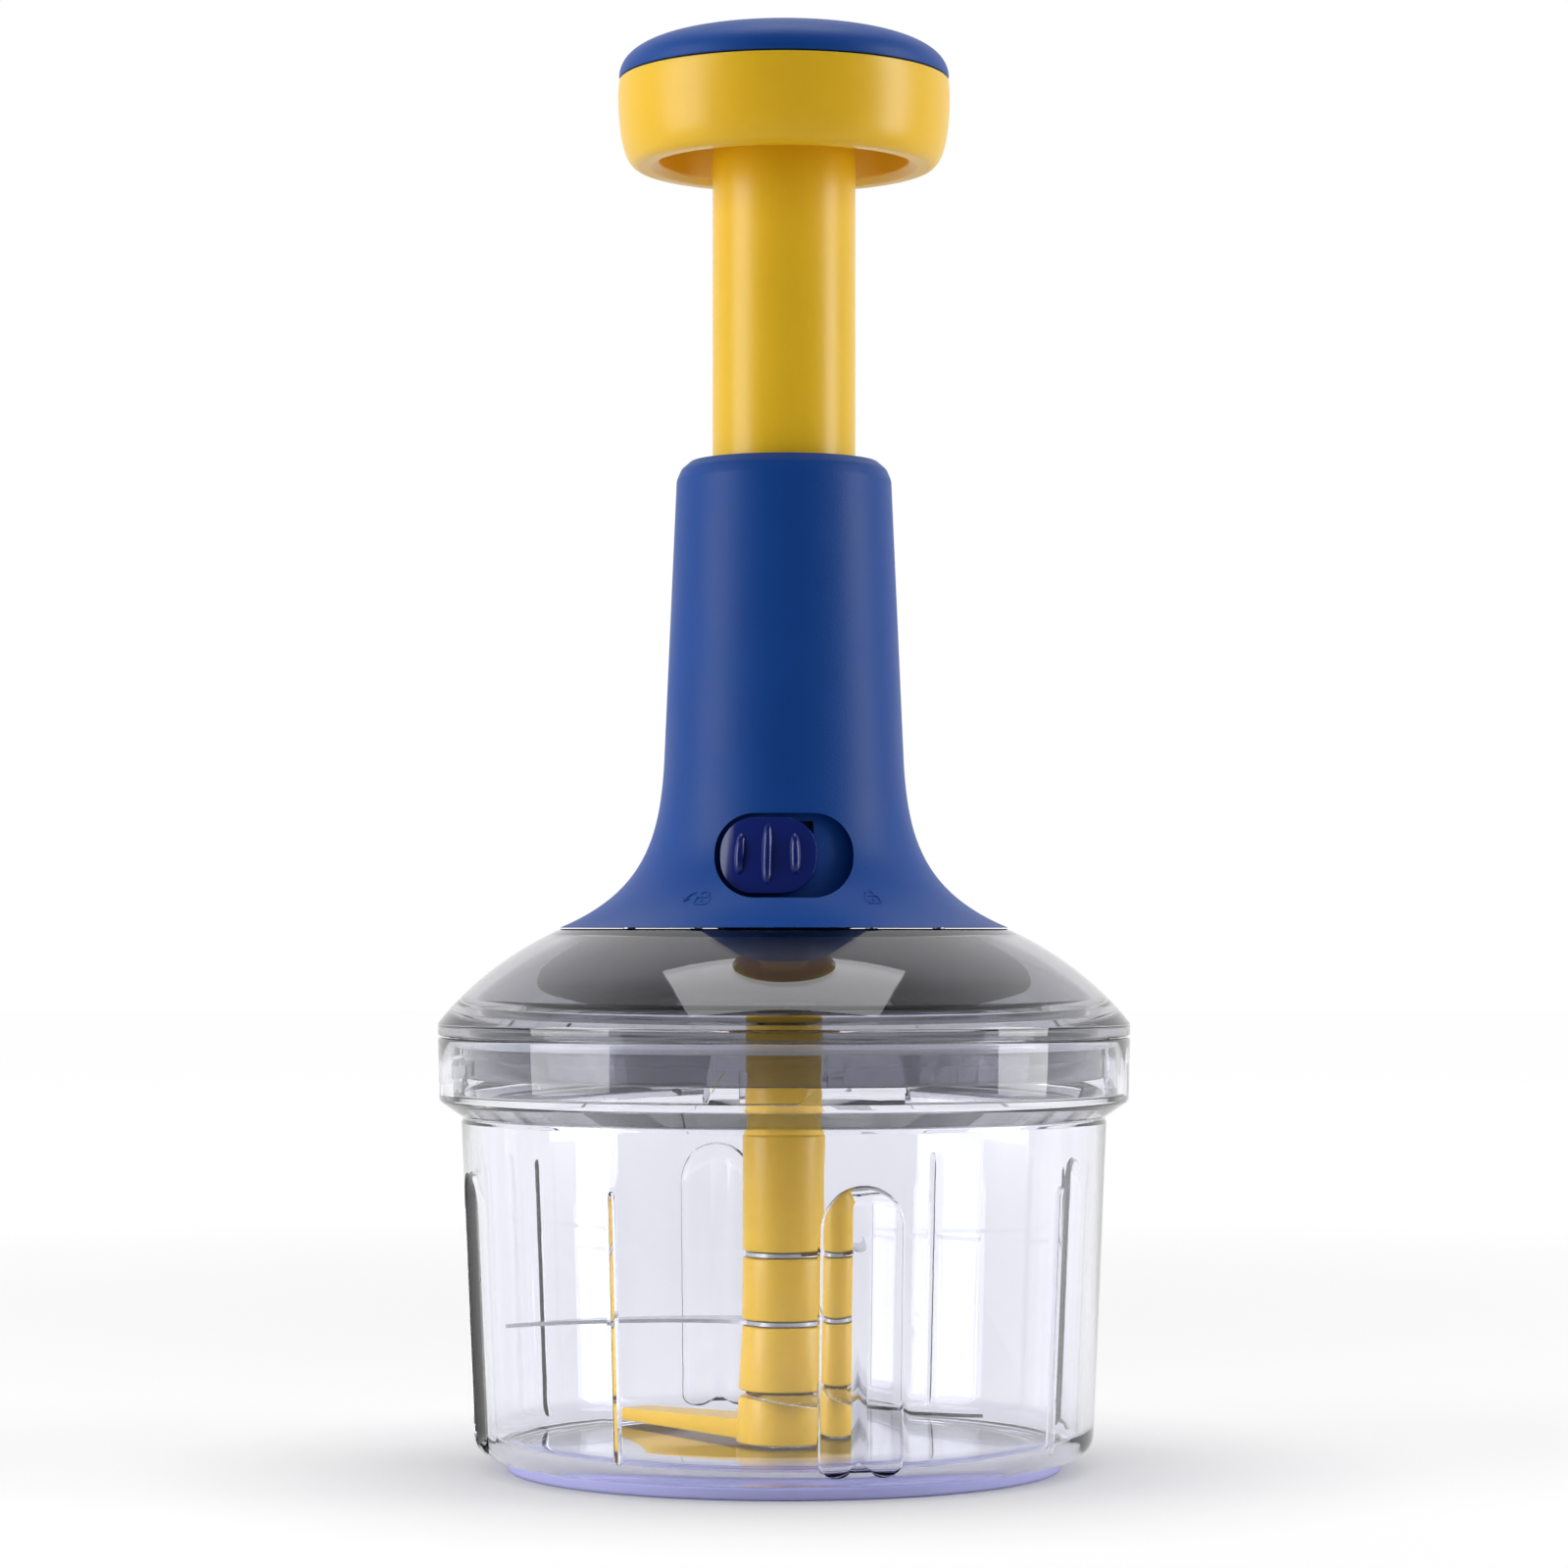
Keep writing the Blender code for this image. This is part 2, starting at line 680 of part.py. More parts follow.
def axis_empty(name):
    """An empty on the axis that all of the chopper's turning and sliding pieces share."""
    empty = bpy.data.objects.new(name, None)
    PARTS.objects.link(empty)
    return empty


def quarter_turns(count):
    return [2 * pi * i / count for i in range(count)]


# Bowl


def bowl_wall_radius(z):
    """Outer radius of the bowl's tapered wall at a height."""
    low, high = BOWL_BASE + CORNER_RADIUS, NECK_Z - NECK_HEIGHT
    return WALL_BASE_RADIUS + (WALL_TOP_RADIUS - WALL_BASE_RADIUS) * (z - low) / (high - low)


def bowl_profile():
    rib = FOOT_RADIUS - FOOT_WIDTH / 2
    rib_z = FOOT_HEIGHT - FOOT_GROOVE_DEPTH + SEAT_GAP
    corner = (WALL_BASE_RADIUS - CORNER_RADIUS, BOWL_BASE + CORNER_RADIUS)
    inner_wall = WALL_BASE_RADIUS - BOWL_WALL
    inner_corner = (inner_wall - INNER_CORNER_RADIUS, FLOOR_Z + INNER_CORNER_RADIUS)
    outside = [
        (COLLAR_RADIUS - RIM_ROUND, BOWL_HEIGHT),
        (COLLAR_RADIUS, BOWL_HEIGHT - RIM_ROUND),
        (COLLAR_RADIUS - COLLAR_DRAFT, COLLAR_BASE_Z),
        (NECK_RADIUS, NECK_Z),
        (WALL_TOP_RADIUS, NECK_Z - NECK_HEIGHT),
    ]
    outside += arc(corner, CORNER_RADIUS, 0, -pi / 2, 4)
    outside += [
        (rib + FOOT_RIB_WIDTH / 2, BOWL_BASE),
        (rib + FOOT_RIB_WIDTH / 2, rib_z),
        (rib - FOOT_RIB_WIDTH / 2, rib_z),
        (rib - FOOT_RIB_WIDTH / 2, BOWL_BASE),
        (PIN_BOSS_RADIUS, BOWL_BASE),
        (PIN_BOSS_RADIUS, PIN_BOSS_Z),
        (PIN_FLANGE_RADIUS + SEAT_GAP, PIN_BOSS_Z),
        (PIN_FLANGE_RADIUS + SEAT_GAP, PIN_RECESS_Z),
        (PIN_RADIUS + SEAT_GAP, PIN_RECESS_Z),
    ]
    inside = [(PIN_RADIUS + SEAT_GAP, FLOOR_Z)]
    inside += arc(inner_corner, INNER_CORNER_RADIUS, -pi / 2, 0, 3)
    inside += [
        (WALL_TOP_RADIUS - BOWL_WALL, LEDGE_Z - LEDGE_DROP),
        (COLLAR_BORE - LEDGE_WIDTH, LEDGE_Z),
        (COLLAR_BORE, LEDGE_Z),
        (COLLAR_BORE, BOWL_HEIGHT - RIM_ROUND),
        (COLLAR_BORE + RIM_ROUND, BOWL_HEIGHT),
    ]
    return outside + inside


def flute_outline(half, top, foot, leg, notch):
    """An arch with two rounded legs, as (across, z)."""
    legs = half - leg
    points = arc((0, top - half), half, 0, pi, 8)
    points += arc((-legs, foot + leg), leg, pi, 2 * pi - notch, 4)
    points += arc((legs, foot + leg), leg, pi + notch, 2 * pi, 4)
    return points


def flute_cutter(index, azimuth):
    """An arched groove: a steep rim, then sides that slope to a flat middle, leaning with the wall."""
    half = FLUTE_WIDTH / 2
    rim = half - FLUTE_RIM_WIDTH
    flat = FLUTE_FLAT / 2
    notch = FLUTE_NOTCH / FLUTE_LEG_RADIUS
    edge = (half, FLUTE_TOP_Z, FLUTE_FOOT_Z, FLUTE_LEG_RADIUS)
    shapes = (
        (-OVERRUN, edge),
        (FLUTE_EDGE_DEPTH, edge),
        (FLUTE_RIM_DEPTH, (rim, FLUTE_TOP_Z - FLUTE_RIM_WIDTH, FLUTE_FOOT_Z, FLUTE_LEG_RADIUS)),
        (FLUTE_FLAT_DEPTH, (flat, FLUTE_TOP_Z - FLUTE_FLAT_DROP, FLUTE_FOOT_Z + FLUTE_FLAT_LIFT, flat / 2)),
    )
    rings = []
    for depth, shape in shapes:
        outline = flute_outline(*shape, notch)
        rings.append([(bowl_wall_radius(z) - depth, x, z) for x, z in outline])
    piece = lofted(f"flute_cutter_{index}", rings)
    piece.rotation_euler.z = wheel(azimuth)
    return piece


def wall_rib(index, azimuth):
    """A thin upright rib inside the wall, its top sloping into the wall."""
    top, foot = RIB_TOP_Z, RIB_FOOT_Z
    rings = []
    for side in (-RIB_WIDTH / 2, RIB_WIDTH / 2):
        rings.append(
            [
                (bowl_wall_radius(top) - BOWL_WALL / 2, side, top),
                (bowl_wall_radius(top) - BOWL_WALL - RIB_REACH, side, top - 2 * RIB_REACH),
                (bowl_wall_radius(foot) - BOWL_WALL - RIB_REACH, side, foot),
                (bowl_wall_radius(foot) - BOWL_WALL / 2, side, foot - RIB_REACH),
            ]
        )
    piece = lofted(f"wall_rib_{index}", rings)
    piece.rotation_euler.z = wheel(azimuth)
    return piece


def bowl_bayonet(index, azimuth):
    """The ramp that holds the lid's lug down, the stop at its far end and the ledge it slides on."""
    inner = SKIRT_RADIUS + RUN_GAP
    outer = COLLAR_BORE + LUG_ROOT
    ramp_top = RAMP_Z + RAMP_HEIGHT
    ledge = LEDGE_Z - LUG_ROOT
    guide_top = LID_LUG_Z - SEAT_GAP

    def ramp(share):
        return [(inner, RAMP_Z), (outer, RAMP_Z), (outer, ramp_top), (inner, ramp_top)]

    def stop(share):
        rise = min(1.0, share * STOP_LENGTH / STOP_SLANT)
        top = ledge + (ramp_top - OVERRUN - ledge) * sin(rise * pi / 2) + LUG_ROOT
        return [(inner, ledge), (outer, ledge), (outer, top), (inner, top)]

    def guide(share):
        length = LUG_START + LUG_LENGTH - GUIDE_START
        rise = min(1.0, share * length / GUIDE_SLANT)
        top = ledge + (guide_top - ledge - LUG_ROOT) * sin(rise * pi / 2) + LUG_ROOT
        return [(inner, ledge), (outer, ledge), (outer, top), (inner, top)]

    stop_end = LUG_START - LID_TURN - 2 * RUN_GAP / SKIRT_RADIUS
    return (
        sector(f"ramp_{index}", ramp, azimuth + RAMP_START, azimuth + RAMP_END, 5),
        sector(f"stop_{index}", stop, azimuth + stop_end - STOP_LENGTH, azimuth + stop_end, 4),
        sector(f"guide_{index}", guide, azimuth + GUIDE_START, azimuth + LUG_START + LUG_LENGTH, 6),
    )


def make_bowl():
    bowl = turned("bowl", bowl_profile(), BIG_STEPS, CLEAR)
    for index, turn in enumerate(quarter_turns(BAYONET_COUNT)):
        join(bowl, *bowl_bayonet(index, turn))
    for index, turn in enumerate(quarter_turns(FLUTE_COUNT)):
        join(bowl, wall_rib(index, RIB_AZIMUTH + turn))
        cut(bowl, flute_cutter(index, FLUTE_AZIMUTH + turn))


def make_foot_ring():
    rib = FOOT_RADIUS - FOOT_WIDTH / 2
    half = FOOT_RIB_WIDTH / 2 + SEAT_GAP
    groove_z = FOOT_HEIGHT - FOOT_GROOVE_DEPTH
    inner = FOOT_RADIUS - FOOT_WIDTH
    profile = [
        (rib + half, FOOT_HEIGHT),
        (FOOT_RADIUS, FOOT_HEIGHT),
        (FOOT_RADIUS, FOOT_ROUND),
        (FOOT_RADIUS - FOOT_ROUND, 0),
        (inner + FOOT_ROUND, 0),
        (inner, FOOT_ROUND),
        (inner, FOOT_HEIGHT),
        (rib - half, FOOT_HEIGHT),
        (rib - half, groove_z),
        (rib + half, groove_z),
    ]
    turned("foot_ring", profile, BIG_STEPS, LILAC)


def make_centre_pin():
    flange_top = PIN_RECESS_Z - SEAT_GAP
    profile = [
        (0, PIN_TOP_Z),
        (PIN_RADIUS - PIN_TIP, PIN_TOP_Z),
        (PIN_RADIUS, PIN_TOP_Z - PIN_TIP),
        (PIN_RADIUS, flange_top),
        (PIN_FLANGE_RADIUS, flange_top),
        (PIN_FLANGE_RADIUS, flange_top - PIN_FLANGE_HEIGHT),
        (0, flange_top - PIN_FLANGE_HEIGHT),
    ]
    turned("centre_pin", profile, SMALL_STEPS, STEEL, solid=True)


# Blade stack


def core_bore(name, bottom, top):
    """The six-sided hole that keys a piece to the spindle core."""
    outline = circle(CORE_RADIUS + RUN_GAP, CORE_SIDES)
    return plate(name, [outline], bottom - OVERRUN, top + OVERRUN)


def make_paddle_hub(parent):
    top = HUB_BASE + PADDLE_HUB_HEIGHT
    recess = CORE_FLANGE_RADIUS + RUN_GAP
    recess_z = HUB_BASE + RUN_GAP + CORE_FLANGE_HEIGHT + SEAT_GAP
    profile = [
        (0, top),
        (COLUMN_HUB_RADIUS - COLUMN_ROUND, top),
        (COLUMN_HUB_RADIUS, top - COLUMN_ROUND),
        (COLUMN_FOOT_RADIUS, HUB_BASE + COLUMN_ROUND),
        (COLUMN_FOOT_RADIUS - COLUMN_ROUND, HUB_BASE),
        (0, HUB_BASE),
    ]
    hub = turned("paddle_hub", profile, MIDDLE_STEPS, YELLOW, parent, solid=True)
    base = HUB_BASE + PADDLE_LIFT
    root, tip = PADDLE_ROOT, PADDLE_LENGTH - PADDLE_TIP_WIDTH / 2
    rings = []
    for share in (0.0, 1.0):
        x = root + (tip - root) * share
        half = (PADDLE_ROOT_WIDTH + (PADDLE_TIP_WIDTH - PADDLE_ROOT_WIDTH) * share) / 2
        height = PADDLE_ROOT_HEIGHT + (PADDLE_TIP_HEIGHT - PADDLE_ROOT_HEIGHT) * share
        crest = base + height
        rings.append([(x, -half, base), (x, half, base), (x, half, crest), (x, -half, crest)])
    for a in (pi / 6, pi / 3, 4 * pi / 9):
        x, half = tip + PADDLE_TIP_WIDTH / 2 * sin(a), PADDLE_TIP_WIDTH / 2 * cos(a)
        high = base + PADDLE_TIP_HEIGHT
        rings.append([(x, -half, base), (x, half, base), (x, half, high), (x, -half, high)])
    arm = lofted("paddle_arm", rings)
    arm.rotation_euler.z = PADDLE_TURN
    join(hub, arm)
    recess_clear = drill("recess_clear", recess, HUB_BASE - OVERRUN, recess_z, MIDDLE_STEPS)
    cut(hub, recess_clear, core_bore("hub_bore", recess_z, top))
    return top


def make_blade(name, bottom, turn, parent):
    """A thin sickle, its convex edge ground to a bevel on the upper face."""
    back = [(BLADE_LENGTH * x, BLADE_LENGTH * y) for x, y in BLADE_BACK_SHARES]
    front = [(BLADE_LENGTH * x, BLADE_LENGTH * y) for x, y in BLADE_FRONT_SHARES]
    ground = [(x, y + BLADE_GRIND) for x, y in back[:3]] + [back[3]]
    inner = bezier(*front, BLADE_POINTS)[::-1]
    ring_end = front[0]
    heel = arc((0, 0), hypot(*ring_end), pi / 24, 4 * pi / 3 - pi / 24, 12)
    outlines = []
    for edge in (back, ground):
        outlines.append(bezier(*edge, BLADE_POINTS) + inner[1:] + heel[1:-1])
    levels = (bottom, bottom + BLADE_THICKNESS * BLADE_EDGE_SHARE, bottom + BLADE_THICKNESS)
    rings = [[(x, y, z) for x, y in outline] for z, outline in zip(levels, (outlines[0], *outlines))]
    blade = lofted(name, rings, STEEL, parent)
    blade.rotation_euler.z = turn
    cut(blade, core_bore(f"{name}_bore", bottom, levels[2]))
    return levels[2]


def make_spacer(name, radii, bottom, height, parent):
    """One segment of the yellow column."""
    top = bottom + height
    low, high = radii
    profile = [
        (0, top),
        (high - COLUMN_ROUND, top),
        (high, top - COLUMN_ROUND),
        (low, bottom + COLUMN_ROUND),
        (low - COLUMN_ROUND, bottom),
        (0, bottom),
    ]
    spacer = turned(name, profile, MIDDLE_STEPS, YELLOW, parent, solid=True)
    cut(spacer, core_bore(f"{name}_bore", bottom, top))
    return top


def splined(radius, spline_count, width, reach, turn):
    """A round outline with ribs that stand out, or in when the reach is negative."""
    points = []
    for index in range(spline_count):
        middle = turn + 2 * pi * index / spline_count
        half = width / 2 / radius
        tip_half = width / 2 / (radius + reach)
        following = middle + 2 * pi / spline_count - half
        points += [polar(radius, middle - half)[:2]]
        points += [polar(radius + reach, middle + side)[:2] for side in (-tip_half, tip_half)]
        points += arc((0, 0), radius, middle + half, following, 8)[:-1]
    return points


def make_spindle(bottom, parent):
    """The long top segment with the drive socket, the core that keys the stack, and the screw."""
    top = SPLASH_Z - RUN_GAP
    shoulder = bottom + SPINDLE_SHOULDER_RISE
    profile = [
        (0, top),
        (SPINDLE_NECK_RADIUS - COLUMN_ROUND, top),
        (SPINDLE_NECK_RADIUS, top - COLUMN_ROUND),
        (SPINDLE_NECK_RADIUS, shoulder + SPINDLE_SHOULDER_ROUND),
        (SPINDLE_RADIUS, shoulder),
        (SPINDLE_RADIUS, bottom + COLUMN_ROUND),
        (SPINDLE_RADIUS - COLUMN_ROUND, bottom),
        (0, bottom),
    ]
    spindle = turned("spindle_top", profile, MIDDLE_STEPS, YELLOW, parent, solid=True)
    socket_z = top - BIT_LENGTH - SOCKET_GAP
    socket_radius = BIT_RADIUS + SPLINE_REACH + SOCKET_GAP
    outline = splined(socket_radius, BIT_SPLINES, SPLINE_WIDTH, -SPLINE_REACH, FRONT)
    socket = plate("drive_socket", [outline], socket_z, top + OVERRUN)
    core_top = bottom + CORE_RISE
    web_top = core_top + SEAT_GAP + SPINDLE_WEB
    well = drill("screw_well", SPINDLE_WELL_RADIUS, web_top, socket_z + OVERRUN, SMALL_STEPS)
    web_hole = drill("web_hole", SCREW_BORE, core_top - OVERRUN, web_top + OVERRUN, SCREW_STEPS)
    cut(spindle, socket, well, web_hole, core_bore("spindle_bore", bottom, core_top + SEAT_GAP - OVERRUN))

    flange_z = HUB_BASE + RUN_GAP
    flange_top = flange_z + CORE_FLANGE_HEIGHT
    outline = circle(CORE_RADIUS, CORE_SIDES)
    core = plate("spindle_core", [outline], flange_top - SEAT_GAP, core_top, STEEL, parent)
    core.data.materials[0] = CREAM
    join(core, disc("core_flange", CORE_FLANGE_RADIUS, flange_z, flange_top, SMALL_STEPS))
    bore_radius = PIN_RADIUS + PIN_RUN_GAP
    pin_bore = drill("pin_bore", bore_radius, flange_z - OVERRUN, PIN_TOP_Z + SEAT_GAP, SMALL_STEPS)
    pilot_z = core_top - SPINDLE_SCREW_REACH - OVERRUN
    pilot = drill("core_pilot", SCREW_BORE, pilot_z, core_top + OVERRUN, SCREW_STEPS)
    cut(core, pin_bore, pilot)
    reach = SPINDLE_WEB + SEAT_GAP + SPINDLE_SCREW_REACH
    make_screw("spindle_screw", (0, 0, web_top + SEAT_GAP), reach, parent)


def make_blade_stack():
    parent = axis_empty("blades_axis")
    hub_top = make_paddle_hub(parent)
    bottom_top = make_blade("blade_bottom", hub_top + SEAT_GAP, BLADE_BOTTOM_TURN, parent)
    radii = (COLUMN_HUB_RADIUS, COLUMN_RADIUS)
    lower_top = make_spacer("spacer_lower", radii, bottom_top + SEAT_GAP, SPACER_LOWER_HEIGHT, parent)
    middle_top = make_blade("blade_middle", lower_top + SEAT_GAP, BLADE_MIDDLE_TURN, parent)
    radii = (COLUMN_RADIUS, SPINDLE_RADIUS)
    upper_top = make_spacer("spacer_upper", radii, middle_top + SEAT_GAP, SPACER_UPPER_HEIGHT, parent)
    top_top = make_blade("blade_top", upper_top + SEAT_GAP, BLADE_TOP_TURN, parent)
    make_spindle(top_top + SEAT_GAP, parent)


def make_screw(name, seat, reach, parent, upward=False, radius=SCREW_RADIUS):
    """A pan-head screw: its head's underside at the seat, its shank going down, or up."""
    profile = [
        (0, SCREW_HEAD_HEIGHT - SCREW_DIMPLE_DEPTH),
        (SCREW_DIMPLE_RADIUS, SCREW_HEAD_HEIGHT),
        (SCREW_HEAD_RADIUS - SCREW_DIMPLE_DEPTH, SCREW_HEAD_HEIGHT),
        (SCREW_HEAD_RADIUS, SCREW_HEAD_HEIGHT - SCREW_DIMPLE_DEPTH),
        (SCREW_HEAD_RADIUS, 0),
        (radius, 0),
        (radius, radius - reach),
        (0, -reach),
    ]
    screw = turned(name, profile, SCREW_STEPS, STEEL, parent, solid=True)
    screw.location = seat
    screw.rotation_euler.x = pi if upward else 0.0


# Lid


def dome_centre():
    """Centre and radius of the arc that the dome's outer profile follows."""
    start = (LID_SHOULDER_RADIUS, LID_BASE + LID_SHOULDER_RISE)
    end = (HOUSING_FOOT_RADIUS, DECK_TOP)
    across, rise = start[0] - end[0], end[1] - start[1]
    chord = hypot(across, rise)
    radius = chord * chord / (8 * DOME_SAGITTA) + DOME_SAGITTA / 2
    back = radius - DOME_SAGITTA
    middle = ((start[0] + end[0]) / 2, (start[1] + end[1]) / 2)
    return (middle[0] - back * rise / chord, middle[1] - back * across / chord), radius


def dome_points(radius, outer_radius, inner_radius, count):
    """Points of the dome's arc, at its own radius, between two radii from the axis."""
    centre = dome_centre()[0]
    points = []
    for i in range(count + 1):
        r = inner_radius + (outer_radius - inner_radius) * i / count
        points.append((r, centre[1] + (radius * radius - (r - centre[0]) ** 2) ** 0.5))
    return points


def lid_profile():
    radius = dome_centre()[1]
    edge_z = LID_BASE + LID_EDGE_HEIGHT
    round_z = LID_BASE + (LID_SHOULDER_RISE + LID_EDGE_HEIGHT) * LID_EDGE_SHARE
    outside = [(DECK_BORE, DECK_TOP)]
    outside += dome_points(radius, LID_SHOULDER_RADIUS, HOUSING_FOOT_RADIUS, 6)
    outside += [
        ((LID_SHOULDER_RADIUS + COLLAR_RADIUS) / 2, round_z),
        (COLLAR_RADIUS, edge_z),
        (COLLAR_RADIUS, LID_BASE + RIM_ROUND),
        (COLLAR_RADIUS - RIM_ROUND, LID_BASE),
        (SKIRT_RADIUS, LID_BASE),
        (SKIRT_RADIUS, SKIRT_BASE),
    ]
    bead_top = SPLASH_Z - SEAT_GAP
    inside = [
        (SKIRT_BORE, SKIRT_BASE),
        (SKIRT_BORE, bead_top - BEAD_HEIGHT - BEAD_REACH),
        (SKIRT_BORE - BEAD_REACH, bead_top - BEAD_HEIGHT),
        (SKIRT_BORE - BEAD_REACH, bead_top),
        (SKIRT_BORE, bead_top),
    ]
    under = dome_points(radius - LID_WALL, SKIRT_BORE, HOUSING_FOOT_RADIUS, 5)[::-1]
    inside += [point for point in under if point[1] < DECK_UNDER]
    inside += [(HOUSING_FOOT_RADIUS - LID_WALL, DECK_UNDER), (DECK_BORE, DECK_UNDER)]
    return outside + inside


def lid_lug(index, azimuth):
    top = LID_LUG_Z + LUG_HEIGHT
    radii = (SKIRT_RADIUS - LUG_ROOT, COLLAR_BORE - RUN_GAP)
    profile = [(radii[0], LID_LUG_Z), (radii[1], LID_LUG_Z), (radii[1], top), (radii[0], top)]
    start = azimuth + LUG_START
    return sector(f"lid_lug_{index}", profile, start, start + LUG_LENGTH, 4)


def screw_places(count, circle_radius, first):
    return [(circle_radius, first + turn) for turn in quarter_turns(count)]


SLEEVE_SCREWS = screw_places(SLEEVE_SCREW_COUNT, SLEEVE_SCREW_CIRCLE, pi / 3)
HOUSING_SCREWS = screw_places(HOUSING_SCREW_COUNT, HOUSING_SCREW_CIRCLE, pi / 3)


def screw_hole(name, spot, bottom, top):
    x, y, _ = polar(spot[0], wheel(spot[1]))
    return rod(name, SCREW_BORE, SCREW_STEPS, ((x, y, bottom), (x, y, top)))


def make_lid_dome(parent):
    lid = turned("lid_dome", lid_profile(), BIG_STEPS, SMOKE, parent)
    for index, turn in enumerate(quarter_turns(BAYONET_COUNT)):
        join(lid, lid_lug(index, turn))
    for index, spot in enumerate(SLEEVE_SCREWS + HOUSING_SCREWS):
        cut(lid, screw_hole(f"deck_hole_{index}", spot, DECK_UNDER - OVERRUN, DECK_TOP + OVERRUN))


def make_lid_seal():
    top = LID_BASE - SEAT_GAP
    seal = (SKIRT_RADIUS + RUN_GAP, COLLAR_BORE - SEAT_GAP)
    middle = top - SEAL_HEIGHT / 2
    inset = SEAT_GAP
    profile = [
        (seal[0], top),
        (seal[1] - inset, top),
        (seal[1], middle),
        (seal[1] - inset, top - SEAL_HEIGHT),
        (seal[0], top - SEAL_HEIGHT),
    ]
    turned("lid_seal", profile, BIG_STEPS, RUBBER, axis_empty("seal_axis"))


def splash_radius():
    """The plate reaches to the skirt's bore, or to the underside of the dome where that comes first."""
    centre, radius = dome_centre()
    height = SPLASH_Z + SPLASH_THICKNESS + SPLASH_DOME_GAP - centre[1]
    under_dome = centre[0] + ((radius - LID_WALL) ** 2 - height * height) ** 0.5
    return min(SKIRT_BORE - SEAT_GAP, under_dome)


def make_splash_plate(parent):
    radius = splash_radius()
    top = SPLASH_Z + SPLASH_THICKNESS
    bore = SPINDLE_NECK_RADIUS - SEAT_GAP
    profile = [
        (bore, top),
        (radius - SPLASH_THICKNESS / 2, top),
        (radius, SPLASH_Z + SPLASH_THICKNESS / 2),
        (radius, SPLASH_Z),
        (bore, SPLASH_Z),
    ]
    turned("splash_plate", profile, BIG_STEPS, SMOKE, parent)


def make_mechanism_cover(parent):
    """The frosted pan under the deck: an open turned sheet with its wall put on inside."""
    waist = PAN_Z + PAN_WAIST
    heel = PAN_HEEL_SHARES[1]
    rim = (PAN_RIM_RADIUS, BEARING_TOP)
    side = swept(rim, (PAN_RADIUS, waist), PAN_SIDE_SHARES, 3)
    floor = (PAN_RADIUS - PAN_HEEL_LENGTH, PAN_Z)
    heel = bezier(
        (PAN_RADIUS, waist),
        (PAN_RADIUS, waist - PAN_WAIST * PAN_HEEL_SHARES[0][1]),
        (PAN_RADIUS - PAN_HEEL_LENGTH * (1 - heel[0]), PAN_Z + PAN_WAIST * heel[1]),
        floor,
        3,
    )
    profile = side + heel[1:] + [(NOSE_ROOT_RADIUS + RUN_GAP, PAN_Z)]
    mesh = bpy.data.meshes.new("mechanism_cover")
    edges = [(i, i + 1) for i in range(len(profile) - 1)]
    mesh.from_pydata([(r, 0, z) for r, z in profile], edges, [])
    pan = place("mechanism_cover", mesh, FROST, parent)
    screw = pan.modifiers.new("turn", "SCREW")
    screw.axis = "Z"
    screw.angle = 2 * pi
    screw.steps = screw.render_steps = BIG_STEPS
    screw.use_merge_vertices = True
    screw.merge_threshold = MERGE
    wall = pan.modifiers.new("wall", "SOLIDIFY")
    wall.thickness = PAN_WALL
    wall.offset = -1


def make_bearing(parent):
    profile = [
        (BEARING_BORE, BEARING_BOSS_TOP),
        (BEARING_BOSS_RADIUS, BEARING_BOSS_TOP),
        (BEARING_BOSS_RADIUS, BEARING_TOP),
        (BEARING_RADIUS, BEARING_TOP),
        (BEARING_RADIUS, BEARING_Z),
        (BEARING_BORE, BEARING_Z),
    ]
    bearing = turned("bearing_plate", profile, MIDDLE_STEPS, CREAM, parent)
    for index, spot in enumerate(SLEEVE_SCREWS):
        cut(bearing, screw_hole(f"bearing_hole_{index}", spot, BEARING_Z - OVERRUN, BEARING_TOP + OVERRUN))
    washer_top = WASHER_Z + WASHER_THICKNESS
    disc("thrust_washer", WASHER_RADIUS, WASHER_Z, washer_top, SMALL_STEPS, STEEL, parent, bore=BEARING_BORE)
    seat = [
        (SPRING_SEAT_BORE, SPRING_SEAT_TOP - SEAT_GAP),
        (SPRING_RADIUS - 2 * SPRING_WIRE, SPRING_SEAT_TOP),
        (SLEEVE_BORE - 2 * RUN_GAP, SPRING_SEAT_TOP),
        (SLEEVE_BORE - 2 * RUN_GAP, WASHER_Z + SEAT_GAP),
        (BEARING_BOSS_RADIUS, WASHER_Z),
        (SPRING_SEAT_BORE, WASHER_Z),
    ]
    turned("spring_seat", seat, MIDDLE_STEPS, STEEL, parent)


